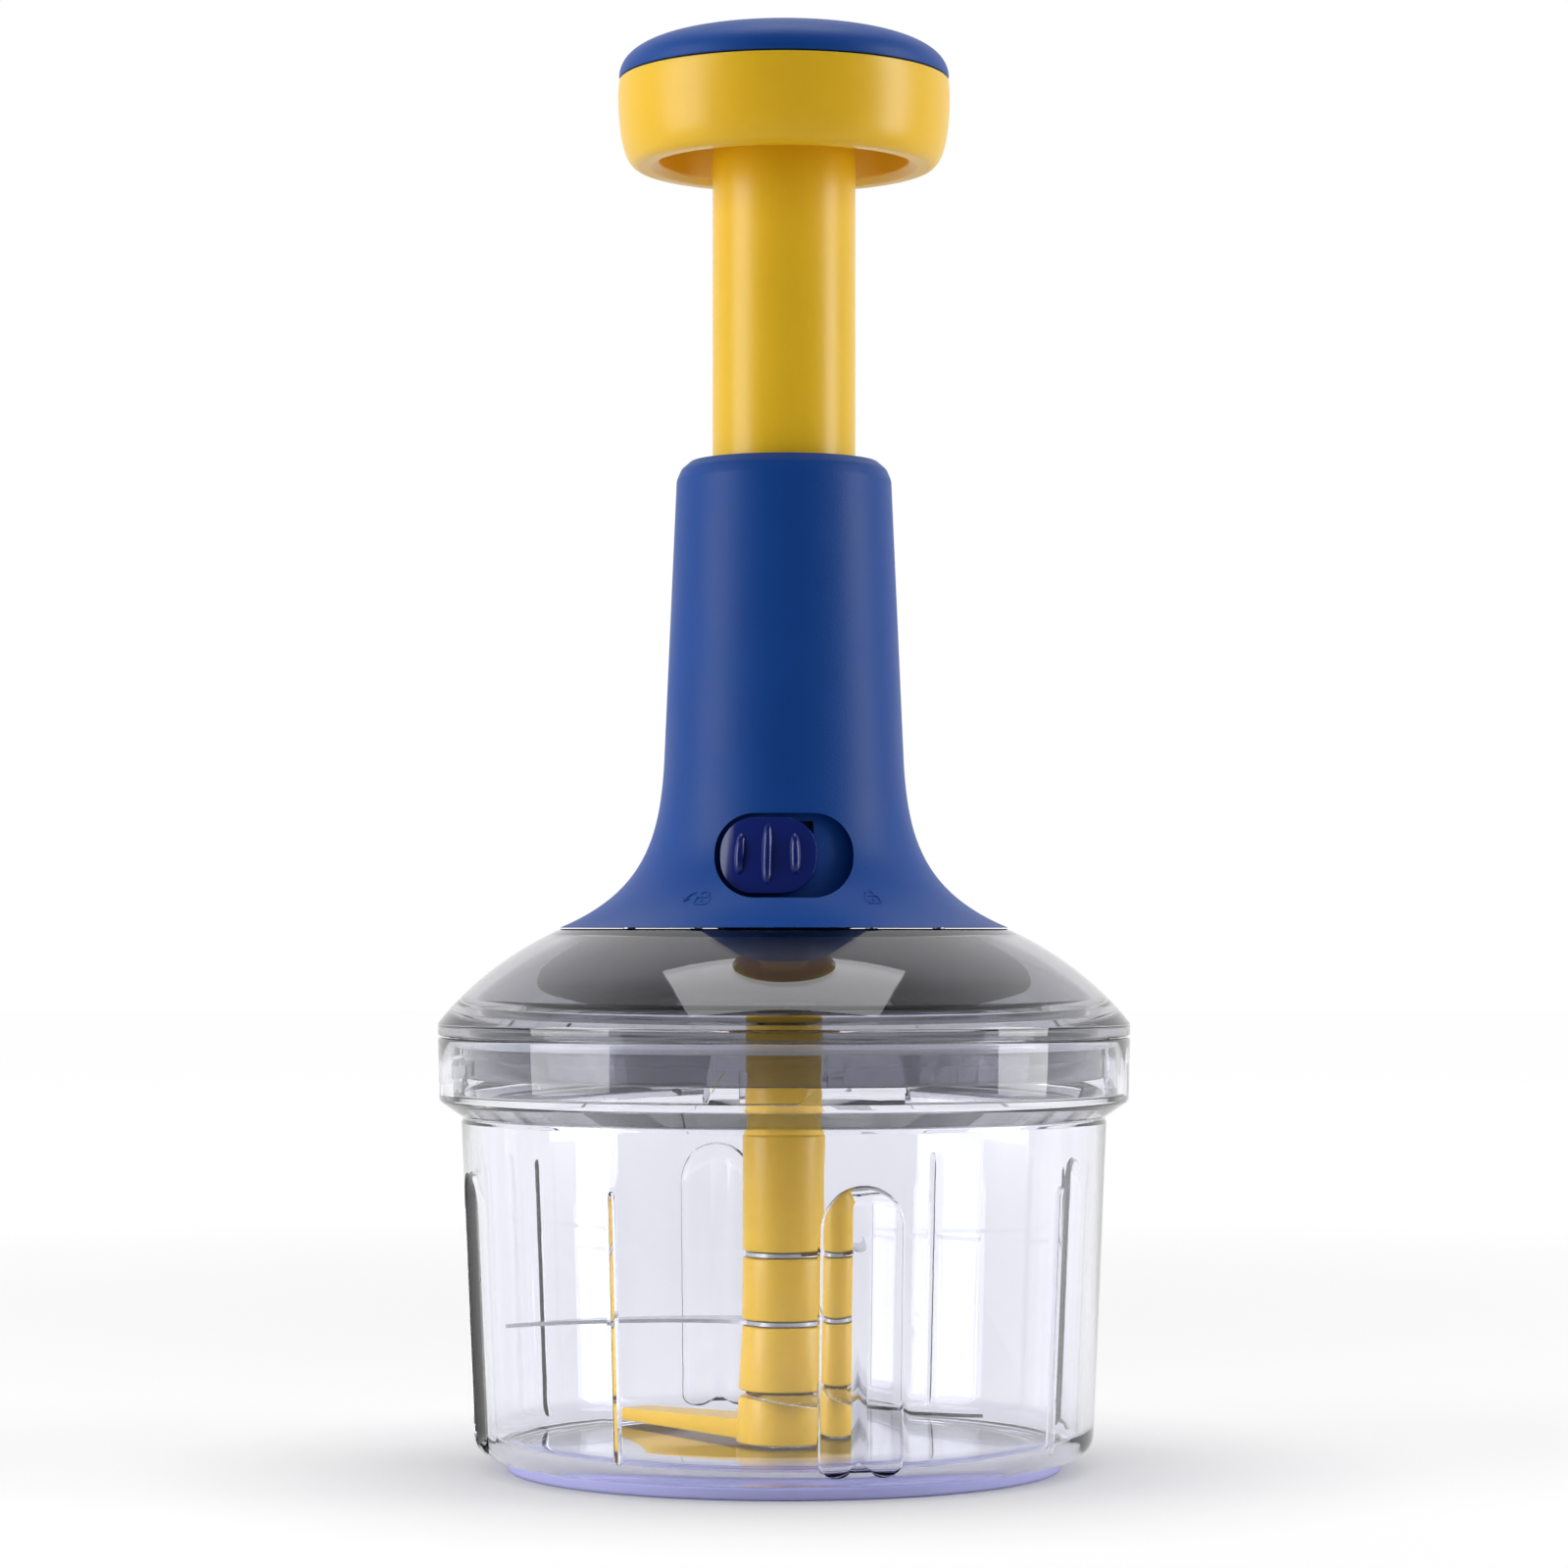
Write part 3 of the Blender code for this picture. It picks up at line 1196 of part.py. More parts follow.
def make_guide_sleeve(parent):
    """The tube's guide: two grooves for the tube's ears and a window for the lock's tongue."""
    flange_top = SLEEVE_BASE + SLEEVE_FLANGE_HEIGHT
    top = HOUSING_TOP - HOUSING_CROWN - SEAT_GAP
    profile = [
        (SLEEVE_BORE, top),
        (SLEEVE_RADIUS, top),
        (SLEEVE_RADIUS, flange_top),
        (SLEEVE_FLANGE_RADIUS, flange_top),
        (SLEEVE_FLANGE_RADIUS, SLEEVE_BASE),
        (SLEEVE_BORE, SLEEVE_BASE),
    ]
    sleeve = turned("guide_sleeve", profile, MIDDLE_STEPS, CREAM, parent)
    groove_top = TUBE_BOTTOM + EAR_HEIGHT + SEAT_GAP
    radii = (SLEEVE_BORE - SLEEVE_WALL, TUBE_RADIUS + EAR_REACH + RUN_GAP)
    for index, side in enumerate((-pi / 2, pi / 2)):
        width = EAR_WIDTH + 2 * RUN_GAP
        cut(sleeve, block(f"ear_groove_{index}", width, radii, (SLEEVE_BASE - OVERRUN, groove_top), side))
    half = TONGUE_WIDTH / 2 / TUBE_BORE + LOCK_TURN / 2 + 2 * RUN_GAP / TUBE_BORE
    low, high = TONGUE_Z - RUN_GAP, TONGUE_Z + TONGUE_HEIGHT + RUN_GAP
    inner, outer = SLEEVE_BORE - OVERRUN, SLEEVE_RADIUS + OVERRUN
    outline = [(inner, low), (outer, low), (outer, high), (inner, high)]
    cut(sleeve, sector("tongue_window", outline, -half, half, 4))
    for index, spot in enumerate(SLEEVE_SCREWS):
        bite = screw_hole(f"sleeve_hole_{index}", spot, SLEEVE_BASE - OVERRUN, flange_top + OVERRUN)
        cut(sleeve, bite)


def make_lid_screws(parent):
    for index, (radius, azimuth) in enumerate(SLEEVE_SCREWS, 1):
        seat = BEARING_Z - SEAT_GAP
        reach = SLEEVE_BASE + SLEEVE_SCREW_BITE - seat
        make_screw(f"sleeve_screw_{index}", polar(radius, wheel(azimuth), seat), reach, parent, upward=True)
    for index, (radius, azimuth) in enumerate(HOUSING_SCREWS, 1):
        seat = DECK_UNDER - SEAT_GAP
        reach = HOUSING_BASE + HOUSING_SCREW_BITE - seat
        make_screw(f"housing_screw_{index}", polar(radius, wheel(azimuth), seat), reach, parent, upward=True)


# Housing


def housing_outside(inset=0.0):
    """The housing's outer profile from the edge of its crown to its foot."""
    chamfer_z = HOUSING_TOP - HOUSING_CHAMFER_HEIGHT
    break_z = HOUSING_TOP - HOUSING_CHAMFER_HEIGHT * HOUSING_BREAK_SHARES[0]
    break_radius = HOUSING_TOP_RADIUS - HOUSING_CHAMFER_WIDTH * (1 - HOUSING_BREAK_SHARES[1])
    flare_top = (HOUSING_NECK_RADIUS - inset, HOUSING_BASE + FLARE_HEIGHT)
    flare_end = (HOUSING_FOOT_RADIUS - inset, HOUSING_BASE)
    points = [
        (HOUSING_TOP_RADIUS - HOUSING_CHAMFER_WIDTH - inset, HOUSING_TOP - inset),
        (break_radius - inset, break_z - inset),
        (HOUSING_TOP_RADIUS - inset, chamfer_z),
    ]
    return points + swept(flare_top, flare_end, FLARE_SHARES, 9)


def housing_profile():
    outside = [(SLEEVE_BORE, HOUSING_TOP)] + housing_outside()
    crown_z = HOUSING_TOP - HOUSING_CROWN
    collet = SLEEVE_RADIUS + SEAT_GAP
    inner_neck = (HOUSING_NECK_RADIUS - HOUSING_WALL, HOUSING_BASE + FLARE_HEIGHT)
    inner_foot = (HOUSING_FOOT_RADIUS - HOUSING_FOOT_WALL, HOUSING_BASE)
    inside = swept(inner_neck, inner_foot, FLARE_SHARES, 5)[::-1]
    inside += [
        (HOUSING_TOP_RADIUS - HOUSING_WALL, crown_z - COLLET_DEPTH - COLLET_SLOPE),
        (collet, crown_z - COLLET_DEPTH),
        (collet, crown_z),
        (SLEEVE_BORE, crown_z),
    ]
    return outside + inside


def recess_radius(z):
    """Radius of the sloping floor of the lock's recess."""
    return RECESS_TOP_RADIUS + (WINDOW_TOP_Z - z) * RECESS_SLOPE_SHARE


def recess_cone(name, offset):
    """A solid cone inside the recess's floor, set out by an offset."""
    low, high = WINDOW_Z - 2 * TUB_MARGIN, WINDOW_TOP_Z + 2 * TUB_MARGIN
    profile = [(0, high), (recess_radius(high) + offset, high), (recess_radius(low) + offset, low), (0, low)]
    return turned(name, profile, BIG_STEPS, solid=True)


def front_prism(name, width, height, rounding, middle_z):
    """A rounded bar that points out of the front."""
    piece = plate(name, [stadium(width, height, rounding)], HOUSING_TOP_RADIUS / 2, HOUSING_FOOT_RADIUS)
    deep = piece.location.z
    piece.location = (0, -deep, middle_z)
    piece.rotation_euler.x = pi / 2
    return piece


def make_housing(parent):
    housing = turned("housing", housing_profile(), BIG_STEPS, BLUE, parent)
    core_outline = [(0, HOUSING_TOP - CORE_INSET)] + housing_outside(CORE_INSET) + [(0, HOUSING_BASE)]
    low, high = WINDOW_Z - TUB_MARGIN, WINDOW_TOP_Z + TUB_MARGIN
    tub_outline = [
        (recess_radius(high) - TUB_WALL, high),
        (recess_radius(low) - TUB_WALL, low),
        (HOUSING_FOOT_RADIUS, low),
        (HOUSING_FOOT_RADIUS, high),
    ]
    tub = sector("recess_tub", tub_outline, -TUB_SPREAD, TUB_SPREAD, 16)
    combine(tub, turned("tub_core", core_outline, BIG_STEPS, solid=True), "INTERSECT")
    join(housing, tub)
    for index, (radius, azimuth) in enumerate(HOUSING_SCREWS):
        x, y, _ = polar(radius, wheel(azimuth))
        ends = ((x, y, HOUSING_BASE), (x, y, HOUSING_BASE + HOUSING_BOSS_HEIGHT))
        boss = rod(f"housing_boss_{index}", HOUSING_BOSS_RADIUS, SMALL_STEPS, ends)
        combine(boss, turned(f"boss_core_{index}", core_outline, BIG_STEPS, solid=True), "INTERSECT")
        join(housing, boss)
        depth = HOUSING_BASE + HOUSING_SCREW_BITE + SCREW_GAP
        cut(housing, screw_hole(f"boss_hole_{index}", (radius, azimuth), HOUSING_BASE - OVERRUN, depth))
    middle_z = (WINDOW_Z + WINDOW_TOP_Z) / 2
    window = front_prism("lock_window", WINDOW_WIDTH, WINDOW_HEIGHT, WINDOW_ROUND, middle_z)
    combine(window, recess_cone("recess_floor", 0), "DIFFERENCE")
    cut(housing, window)
    half = STEM_WIDTH / 2 / RECESS_TOP_RADIUS + LOCK_TURN / 2 + 2 * RUN_GAP / RECESS_TOP_RADIUS
    z = (STEM_MID_Z - STEM_HEIGHT / 2 - RUN_GAP, STEM_MID_Z + STEM_HEIGHT / 2 + RUN_GAP)
    radii = (RECESS_TOP_RADIUS - 2 * TUB_WALL, recess_radius(STEM_MID_Z) + TUB_WALL)
    slot = [(radii[0], z[0]), (radii[1], z[0]), (radii[1], z[1]), (radii[0], z[1])]
    cut(housing, sector("stem_slot", slot, -half, half, 8))


# Lock


def make_lock():
    parent = axis_empty("lock_axis")
    carrier_z = STEM_MID_Z - CARRIER_HEIGHT / 2
    inner = CARRIER_RADIUS - CARRIER_WALL
    outline = [
        (inner, carrier_z),
        (CARRIER_RADIUS, carrier_z),
        (CARRIER_RADIUS, carrier_z + CARRIER_HEIGHT),
        (inner, carrier_z + CARRIER_HEIGHT),
    ]
    start, end = LOCK_AZIMUTH - CARRIER_SPREAD, LOCK_AZIMUTH + CARRIER_SPREAD
    carrier = sector("lock_carrier", outline, start, end, 10, BLUE, parent)
    tongue_heights = (TONGUE_Z, TONGUE_Z + TONGUE_HEIGHT)
    radii = (TONGUE_TIP_RADIUS, CARRIER_RADIUS - CARRIER_WALL / 2)
    join(carrier, block("tongue", TONGUE_WIDTH, radii, tongue_heights, LOCK_AZIMUTH))
    back = recess_radius(STEM_MID_Z) + RUN_GAP
    stem_tip = back + STEM_REACH
    stem_heights = (STEM_MID_Z - STEM_HEIGHT / 2, STEM_MID_Z + STEM_HEIGHT / 2)
    radii = (CARRIER_RADIUS - CARRIER_WALL / 2, stem_tip)
    join(carrier, block("lock_stem", STEM_WIDTH, radii, stem_heights, LOCK_AZIMUTH))

    height = WINDOW_HEIGHT - 2 * BUTTON_MARGIN
    middle_z = (WINDOW_Z + WINDOW_TOP_Z) / 2
    outline = stadium(BUTTON_WIDTH, height, BUTTON_ROUND)
    slider = plate("lock_slider", [outline], HOUSING_TOP_RADIUS / 2, HOUSING_FOOT_RADIUS, NAVY, parent)
    slider.location = (0, -slider.location.z, middle_z)
    slider.rotation_euler.x = pi / 2
    turn_about_axis(slider, LOCK_AZIMUTH)
    combine(slider, recess_cone("button_front", RUN_GAP + BUTTON_THICKNESS), "INTERSECT")
    pitches = (-BUTTON_RIB_PITCH, 0.0, BUTTON_RIB_PITCH)
    heights = (BUTTON_SIDE_RIB_HEIGHT, BUTTON_RIB_HEIGHT, BUTTON_SIDE_RIB_HEIGHT)
    for index, (across, tall) in enumerate(zip(pitches, heights)):
        join(slider, button_rib(index, across, tall, middle_z))
    cut(slider, recess_cone("button_back", RUN_GAP))
    pocket = (back - SEAT_GAP - OVERRUN, stem_tip + SEAT_GAP)
    pocket_heights = (stem_heights[0] - SEAT_GAP, stem_heights[1] + SEAT_GAP)
    cut(slider, block("stem_pocket", STEM_WIDTH + 2 * SEAT_GAP, pocket, pocket_heights, LOCK_AZIMUTH))


def turn_about_axis(piece, azimuth):
    """Turns a placed piece about the chopper's axis."""
    turn = Matrix.Rotation(azimuth, 4, "Z")
    bpy.context.view_layer.update()
    piece.matrix_world = turn @ piece.matrix_world


def button_rib(index, across, tall, middle_z):
    """A pointed upright grip rib on the button's face."""
    work = bmesh.new()
    bmesh.ops.create_uvsphere(work, u_segments=12, v_segments=8, radius=1)
    bmesh.ops.scale(work, verts=work.verts, vec=(BUTTON_RIB_WIDTH / 2, 2 * BUTTON_RIB_RISE, tall / 2))
    face = recess_radius(middle_z) + RUN_GAP + BUTTON_THICKNESS - BUTTON_RIB_RISE
    lean = Matrix.Rotation(-RECESS_SLOPE_SHARE, 3, "X")
    bmesh.ops.rotate(work, verts=work.verts, matrix=lean)
    bmesh.ops.translate(work, verts=work.verts, vec=(0, -face, middle_z))
    turn = Matrix.Rotation(LOCK_AZIMUTH + across / face, 3, "Z")
    bmesh.ops.rotate(work, verts=work.verts, matrix=turn)
    mesh = bpy.data.meshes.new(f"button_rib_{index}")
    work.to_mesh(mesh)
    work.free()
    return place(f"button_rib_{index}", mesh)


# Plunger


def make_plunger_tube(parent):
    """The yellow tube: a closed top with a screw boss, two ears, and an L-shaped slot for the lock."""
    web_z = TUBE_TOP - TUBE_WEB
    boss_z = web_z - TUBE_BOSS_DEPTH
    pilot = KNOB_SCREW_RADIUS + SCREW_GAP
    profile = [
        (pilot, TUBE_TOP),
        (TUBE_RADIUS, TUBE_TOP),
        (TUBE_RADIUS, TUBE_BOTTOM),
        (TUBE_BORE, TUBE_BOTTOM),
        (TUBE_BORE, web_z),
        (TUBE_BOSS_RADIUS, web_z),
        (TUBE_BOSS_RADIUS, boss_z),
        (pilot, boss_z),
    ]
    tube = turned("plunger_tube", profile, MIDDLE_STEPS, YELLOW, parent)
    ear_heights = (TUBE_BOTTOM, TUBE_BOTTOM + EAR_HEIGHT)
    pin_z = TUBE_BOTTOM + NUT_PIN_RISE
    for index, side in enumerate((-pi / 2, pi / 2)):
        radii = (TUBE_RADIUS - EAR_ROOT, TUBE_RADIUS + EAR_REACH)
        join(tube, block(f"ear_{index}", EAR_WIDTH, radii, ear_heights, side))
    for index, side in enumerate((-pi / 2, pi / 2)):
        ends = [polar(r, wheel(side), pin_z) for r in (NUT_PIN_INNER, TUBE_RADIUS + EAR_REACH + OVERRUN)]
        cut(tube, rod(f"ear_bore_{index}", NUT_PIN_RADIUS + SEAT_GAP, SCREW_STEPS, ends))
    reach = TONGUE_WIDTH / 2 / TUBE_BORE + TONGUE_GAP / TUBE_BORE
    branch = (TONGUE_Z + STROKE - TONGUE_GAP, TONGUE_Z + STROKE + TONGUE_HEIGHT + TONGUE_GAP)
    inner, outer = TUBE_BORE - SEAT_GAP / 2, TUBE_RADIUS + OVERRUN
    foot = TUBE_BOTTOM - OVERRUN
    leg = [(inner, foot), (outer, foot), (outer, branch[1]), (inner, branch[1])]
    cut(tube, sector("slot_leg", leg, LOCK_AZIMUTH - reach, LOCK_AZIMUTH + reach, 2))
    arm = [(inner, branch[0]), (outer, branch[0]), (outer, branch[1]), (inner, branch[1])]
    cut(tube, sector("slot_branch", arm, LOCK_AZIMUTH, LOCK_AZIMUTH + LOCK_TURN + reach, 3))


def shaft_section(z, offset=0.0):
    """The three-lobed section of the spiral at a height, turned by its lead."""
    count = LOBE_COUNT * LOBE_POINTS
    turn = -2 * pi * (z - TUBE_BOTTOM) / DRIVE_LEAD
    points = []
    for i in range(count):
        angle = 2 * pi * i / count
        radius = LOBE_RADIUS + LOBE_DEPTH * cos(LOBE_COUNT * angle) + offset
        points.append(polar(radius, angle + turn, z))
    return points


def round_section(radius, z):
    count = LOBE_COUNT * LOBE_POINTS
    turn = -2 * pi * (z - TUBE_BOTTOM) / DRIVE_LEAD
    return [polar(radius, 2 * pi * i / count + turn, z) for i in range(count)]


def steps_between(low, high, step):
    count = max(1, round((high - low) / step))
    return [low + (high - low) * i / count for i in range(count + 1)]


def make_drive_nut(parent):
    nut_top = TUBE_BOTTOM + NUT_HEIGHT
    profile = [(0, nut_top), (NUT_RADIUS, nut_top), (NUT_RADIUS, TUBE_BOTTOM), (0, TUBE_BOTTOM)]
    nut = turned("drive_nut", profile, MIDDLE_STEPS, CREAM, parent, solid=True)
    levels = steps_between(TUBE_BOTTOM - SHAFT_STEP, nut_top + SHAFT_STEP, SHAFT_STEP)
    cut(nut, lofted("nut_bore", [shaft_section(z, THREAD_GAP) for z in levels]))
    pin_z = TUBE_BOTTOM + NUT_PIN_RISE
    for side, word in ((-pi / 2, "left"), (pi / 2, "right")):
        inner = NUT_PIN_INNER - SEAT_GAP
        ends = [polar(r, wheel(side), pin_z) for r in (inner, TUBE_RADIUS)]
        cut(nut, rod(f"nut_bore_{word}", NUT_PIN_RADIUS + SEAT_GAP, SCREW_STEPS, ends))
        ends = [polar(r, wheel(side), pin_z) for r in (NUT_PIN_INNER, TUBE_RADIUS + EAR_REACH - SEAT_GAP)]
        rod(f"nut_pin_{word}", NUT_PIN_RADIUS, SCREW_STEPS, ends, STEEL, parent)


def make_knob(parent):
    belt_z = KNOB_SPLIT_Z - KNOB_BELT_DROP
    seat_z = KNOB_SPLIT_Z - CAP_SEAT_DEPTH
    recess_z = KNOB_BASE + KNOB_RECESS_DEPTH
    rim_inner = KNOB_FOOT_RADIUS - KNOB_RIM_WIDTH
    socket = TUBE_RADIUS + SEAT_GAP
    side = swept((KNOB_RADIUS, belt_z), (KNOB_FOOT_RADIUS, KNOB_BASE), KNOB_SIDE_SHARES, 6)
    bore = KNOB_SCREW_RADIUS + SCREW_GAP
    profile = [(KNOB_CAP_SEAT_RADIUS, KNOB_SPLIT_Z), (KNOB_RADIUS - KNOB_SPLIT_INSET, KNOB_SPLIT_Z)]
    profile += side
    profile += [
        (rim_inner, KNOB_BASE),
        (rim_inner - KNOB_RIM_BREAK, KNOB_BASE + KNOB_RIM_BREAK),
        (rim_inner - KNOB_RIM_BREAK - KNOB_RECESS_DRAFT, recess_z),
        (socket + KNOB_SOCKET_WALL, recess_z),
        (socket + KNOB_SOCKET_WALL, recess_z - KNOB_SOCKET_DROP),
        (socket, recess_z - KNOB_SOCKET_DROP),
        (socket, TUBE_TOP + SEAT_GAP),
        (bore, TUBE_TOP + SEAT_GAP),
        (bore, seat_z),
        (KNOB_CAP_SEAT_RADIUS, seat_z),
    ]
    turned("knob_body", profile, BIG_STEPS, YELLOW, parent)
    reach = KNOB_WEB + SEAT_GAP + TUBE_WEB + TUBE_BOSS_DEPTH / 2
    seat = (0, 0, seat_z + SEAT_GAP)
    make_screw("knob_screw", seat, reach, parent, radius=KNOB_SCREW_RADIUS)

    base = KNOB_SPLIT_Z + SEAT_GAP
    top = base + CAP_HEIGHT
    edge = KNOB_RADIUS - KNOB_SPLIT_INSET
    plug = KNOB_CAP_SEAT_RADIUS - SEAT_GAP
    plug_z = seat_z + SEAT_GAP
    inner = plug - CAP_PLUG_WALL
    crown = swept((0, top), (edge, base + CAP_EDGE), CAP_SHARES, 8)
    under = swept((0, top - CAP_WALL), (inner, base + CAP_WALL), CAP_SHARES, 4)[::-1]
    cap_profile = crown + [(edge, base), (plug, base), (plug, plug_z), (inner, plug_z)] + under
    turned("knob_cap", cap_profile, BIG_STEPS, BLUE, parent, solid=True)


def make_plunger():
    parent = axis_empty("plunger_axis")
    make_plunger_tube(parent)
    make_drive_nut(parent)
    make_knob(parent)


# Spiral drive


def make_spiral():
    """The shaft with its guide on top, and the clutch driver with its pawls below."""
    parent = axis_empty("spiral_axis")
    key_top = DRIVER_TOP + SEAT_GAP
    key_z = DRIVER_Z + SEAT_GAP
    shoulder_top = SHOULDER_Z + SHOULDER_HEIGHT
    hexagon = [KEY_RADIUS * (KEY_FLAT_SHARE if i % 3 else 1) for i in range(LOBE_COUNT * LOBE_POINTS)]
    start = round_section(1.0, key_z)
    key = [[(x * r, y * r, z) for (x, y, _), r in zip(start, hexagon)] for z in (key_z, key_top)]
    rings = key + [round_section(JOURNAL_RADIUS, z) for z in (key_top + SEAT_GAP, SHOULDER_Z)]
    rings += [round_section(SHOULDER_RADIUS, SHOULDER_Z), round_section(SHOULDER_RADIUS, shoulder_top)]
    rings += [shaft_section(z) for z in steps_between(shoulder_top, SHAFT_TOP, SHAFT_STEP)]
    shaft = lofted("spiral_shaft", rings, STEEL, parent)
    top_pilot = drill("top_pilot", SCREW_BORE, SHAFT_TOP - PILOT_DEPTH, SHAFT_TOP + OVERRUN, SCREW_STEPS)
    low_pilot = drill("low_pilot", SCREW_BORE, key_z - OVERRUN, key_z + PILOT_DEPTH, SCREW_STEPS)
    cut(shaft, top_pilot, low_pilot)

    guide_z = SHAFT_TOP + SEAT_GAP
    guide_top = guide_z + GUIDE_HEIGHT
    profile = [
        (SCREW_BORE, guide_top),
        (GUIDE_RADIUS - RUN_GAP, guide_top),
        (GUIDE_RADIUS, guide_top - RUN_GAP),
        (GUIDE_RADIUS, guide_z + RUN_GAP),
        (GUIDE_RADIUS - RUN_GAP, guide_z),
        (SCREW_BORE, guide_z),
    ]
    turned("shaft_guide", profile, MIDDLE_STEPS, CREAM, parent)
    make_screw("guide_screw", (0, 0, guide_top + SEAT_GAP), GUIDE_HEIGHT + SCREW_REACH, parent)
    make_screw("driver_screw", (0, 0, DRIVER_Z - SEAT_GAP), SCREW_REACH + SEAT_GAP, parent, upward=True)
    make_clutch(key, parent)


def make_clutch(key, parent):
    ends = ((0, 0, DRIVER_Z), (0, 0, DRIVER_TOP))
    driver = rod("clutch_driver", DRIVER_RADIUS, SMALL_STEPS, ends, CREAM, parent)
    grown = (KEY_RADIUS + SEAT_GAP) / KEY_RADIUS
    heights = (DRIVER_Z - OVERRUN, DRIVER_TOP + OVERRUN)
    bore = [[(x * grown, y * grown, z) for x, y, _ in key[0]] for z in heights]
    cut(driver, lofted("driver_bore", bore))
    for index, turn in enumerate(quarter_turns(PAWL_COUNT), 1):
        x, y, _ = polar(PAWL_PIN_CIRCLE, wheel(turn))
        heading = wheel(turn) + PAWL_SWING
        slot = pawl_outline(PAWL_WIDTH + 2 * RUN_GAP, PAWL_LENGTH + RUN_GAP)
        passage = plate(f"pawl_passage_{index}", [slot], PAWL_Z - RUN_GAP, PAWL_Z + PAWL_HEIGHT + RUN_GAP)
        passage.location.x, passage.location.y = x, y
        passage.rotation_euler.z = heading
        ends = ((x, y, DRIVER_Z - OVERRUN), (x, y, DRIVER_TOP + OVERRUN))
        bore = rod(f"pawl_pin_bore_{index}", PAWL_PIN_RADIUS + SEAT_GAP, SCREW_STEPS, ends)
        cut(driver, passage, bore)
        pawl = plate(
            f"clutch_pawl_{index}",
            [pawl_outline(PAWL_WIDTH, PAWL_LENGTH), circle(PAWL_PIN_RADIUS + SEAT_GAP, SCREW_STEPS)],
            PAWL_Z,
            PAWL_Z + PAWL_HEIGHT,
            STEEL,
            parent,
        )
        pawl.location.x, pawl.location.y = x, y
        pawl.rotation_euler.z = heading
        ends = ((x, y, DRIVER_Z), (x, y, DRIVER_TOP))
        rod(f"pawl_pin_{index}", PAWL_PIN_RADIUS, SCREW_STEPS, ends, STEEL, parent)


def pawl_outline(width, length):
    """A finger with a round root about its pin and a slanted tip."""
    half = width / 2
    tip = [(length - half, -half), (length, half * PAWL_TIP_SHARE), (length - half, half)]
    return arc((0, 0), half, pi / 2, 3 * pi / 2, 6) + tip


# Output hub


def ratchet_outline():
    """Saw teeth inside a ring, steep on the side that the pawls push."""
    points = []
    for index in range(RATCHET_TEETH):
        start = 2 * pi * (index + RATCHET_PHASE_SHARE) / RATCHET_TEETH
        points.append(polar(RATCHET_TIP_RADIUS, start)[:2])
        points.append(polar(RATCHET_ROOT_RADIUS, start)[:2])
        middle = start + pi / RATCHET_TEETH
        points.append(polar((RATCHET_TIP_RADIUS + RATCHET_ROOT_RADIUS) / 2, middle)[:2])
    return points


def make_output_hub():
    parent = axis_empty("hub_axis")
    floor_top = HUB_Z + HUB_FLOOR
    nose_z = HUB_Z - NOSE_LENGTH
    tip_z = nose_z - NOSE_TAPER
    bit_z = SPLASH_Z - RUN_GAP - BIT_LENGTH
    profile = [
        (0, floor_top),
        (HUB_RADIUS, floor_top),
        (HUB_RADIUS, HUB_Z),
        (NOSE_ROOT_RADIUS, HUB_Z),
        (NOSE_RADIUS, nose_z),
        (NOSE_TIP_RADIUS, tip_z),
        (0, tip_z),
    ]
    hub = turned("output_hub", profile, MIDDLE_STEPS, CREAM, parent, solid=True)
    wall = [circle(HUB_RADIUS - SEAT_GAP, MIDDLE_STEPS), ratchet_outline()]
    ring = plate("ratchet_ring", wall, HUB_Z + HUB_FLOOR / 2, HUB_TOP)
    outline = splined(BIT_RADIUS, BIT_SPLINES, SPLINE_WIDTH, SPLINE_REACH, FRONT + SPLINE_OFFSET)
    bit = plate("drive_bit", [outline], bit_z, tip_z + OVERRUN)
    join(hub, ring, bit)


# Return spring


def make_return_spring(parent):
    """One unbroken wire. It prints the least gap between neighbouring turns."""
    low = SPRING_SEAT_TOP + SEAT_GAP + SPRING_WIRE
    high = TUBE_BOTTOM - SEAT_GAP - SPRING_WIRE
    count = SPRING_TURNS * SPRING_POINTS
    points = [
        polar(SPRING_RADIUS, 2 * pi * i / SPRING_POINTS, low + (high - low) * i / count)
        for i in range(count + 1)
    ]
    least = min(hypot(*(a - b for a, b in zip(p, q))) for p, q in zip(points, points[SPRING_POINTS:]))
    print(f"return_spring least gap {least - 2 * SPRING_WIRE:.5f} m, wanted over {SPRING_LEAST_GAP} m")
    curve = bpy.data.curves.new("return_spring", "CURVE")
    curve.dimensions = "3D"
    curve.bevel_depth = SPRING_WIRE
    curve.bevel_resolution = 0
    curve.use_fill_caps = True
    spline = curve.splines.new("POLY")
    spline.points.add(count)
    for point, co in zip(spline.points, points):
        point.co = (*co, 1)
    mesh = curve_mesh("return_spring", curve)
    place("return_spring", mesh, STEEL, parent)


def make_lid():
    parent = axis_empty("lid_axis")
    make_lid_dome(parent)
    make_splash_plate(parent)
    make_mechanism_cover(parent)
    make_bearing(parent)
    make_guide_sleeve(parent)
    make_housing(parent)
    make_lid_screws(parent)
    make_return_spring(parent)


make_bowl()
make_foot_ring()
make_centre_pin()
make_blade_stack()
make_lid_seal()
make_lid()
make_lock()
make_plunger()
make_spiral()
make_output_hub()
bpy.context.view_layer.update()
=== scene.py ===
"""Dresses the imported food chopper: smooth moulded pieces over its solids, finishes, and a white studio."""

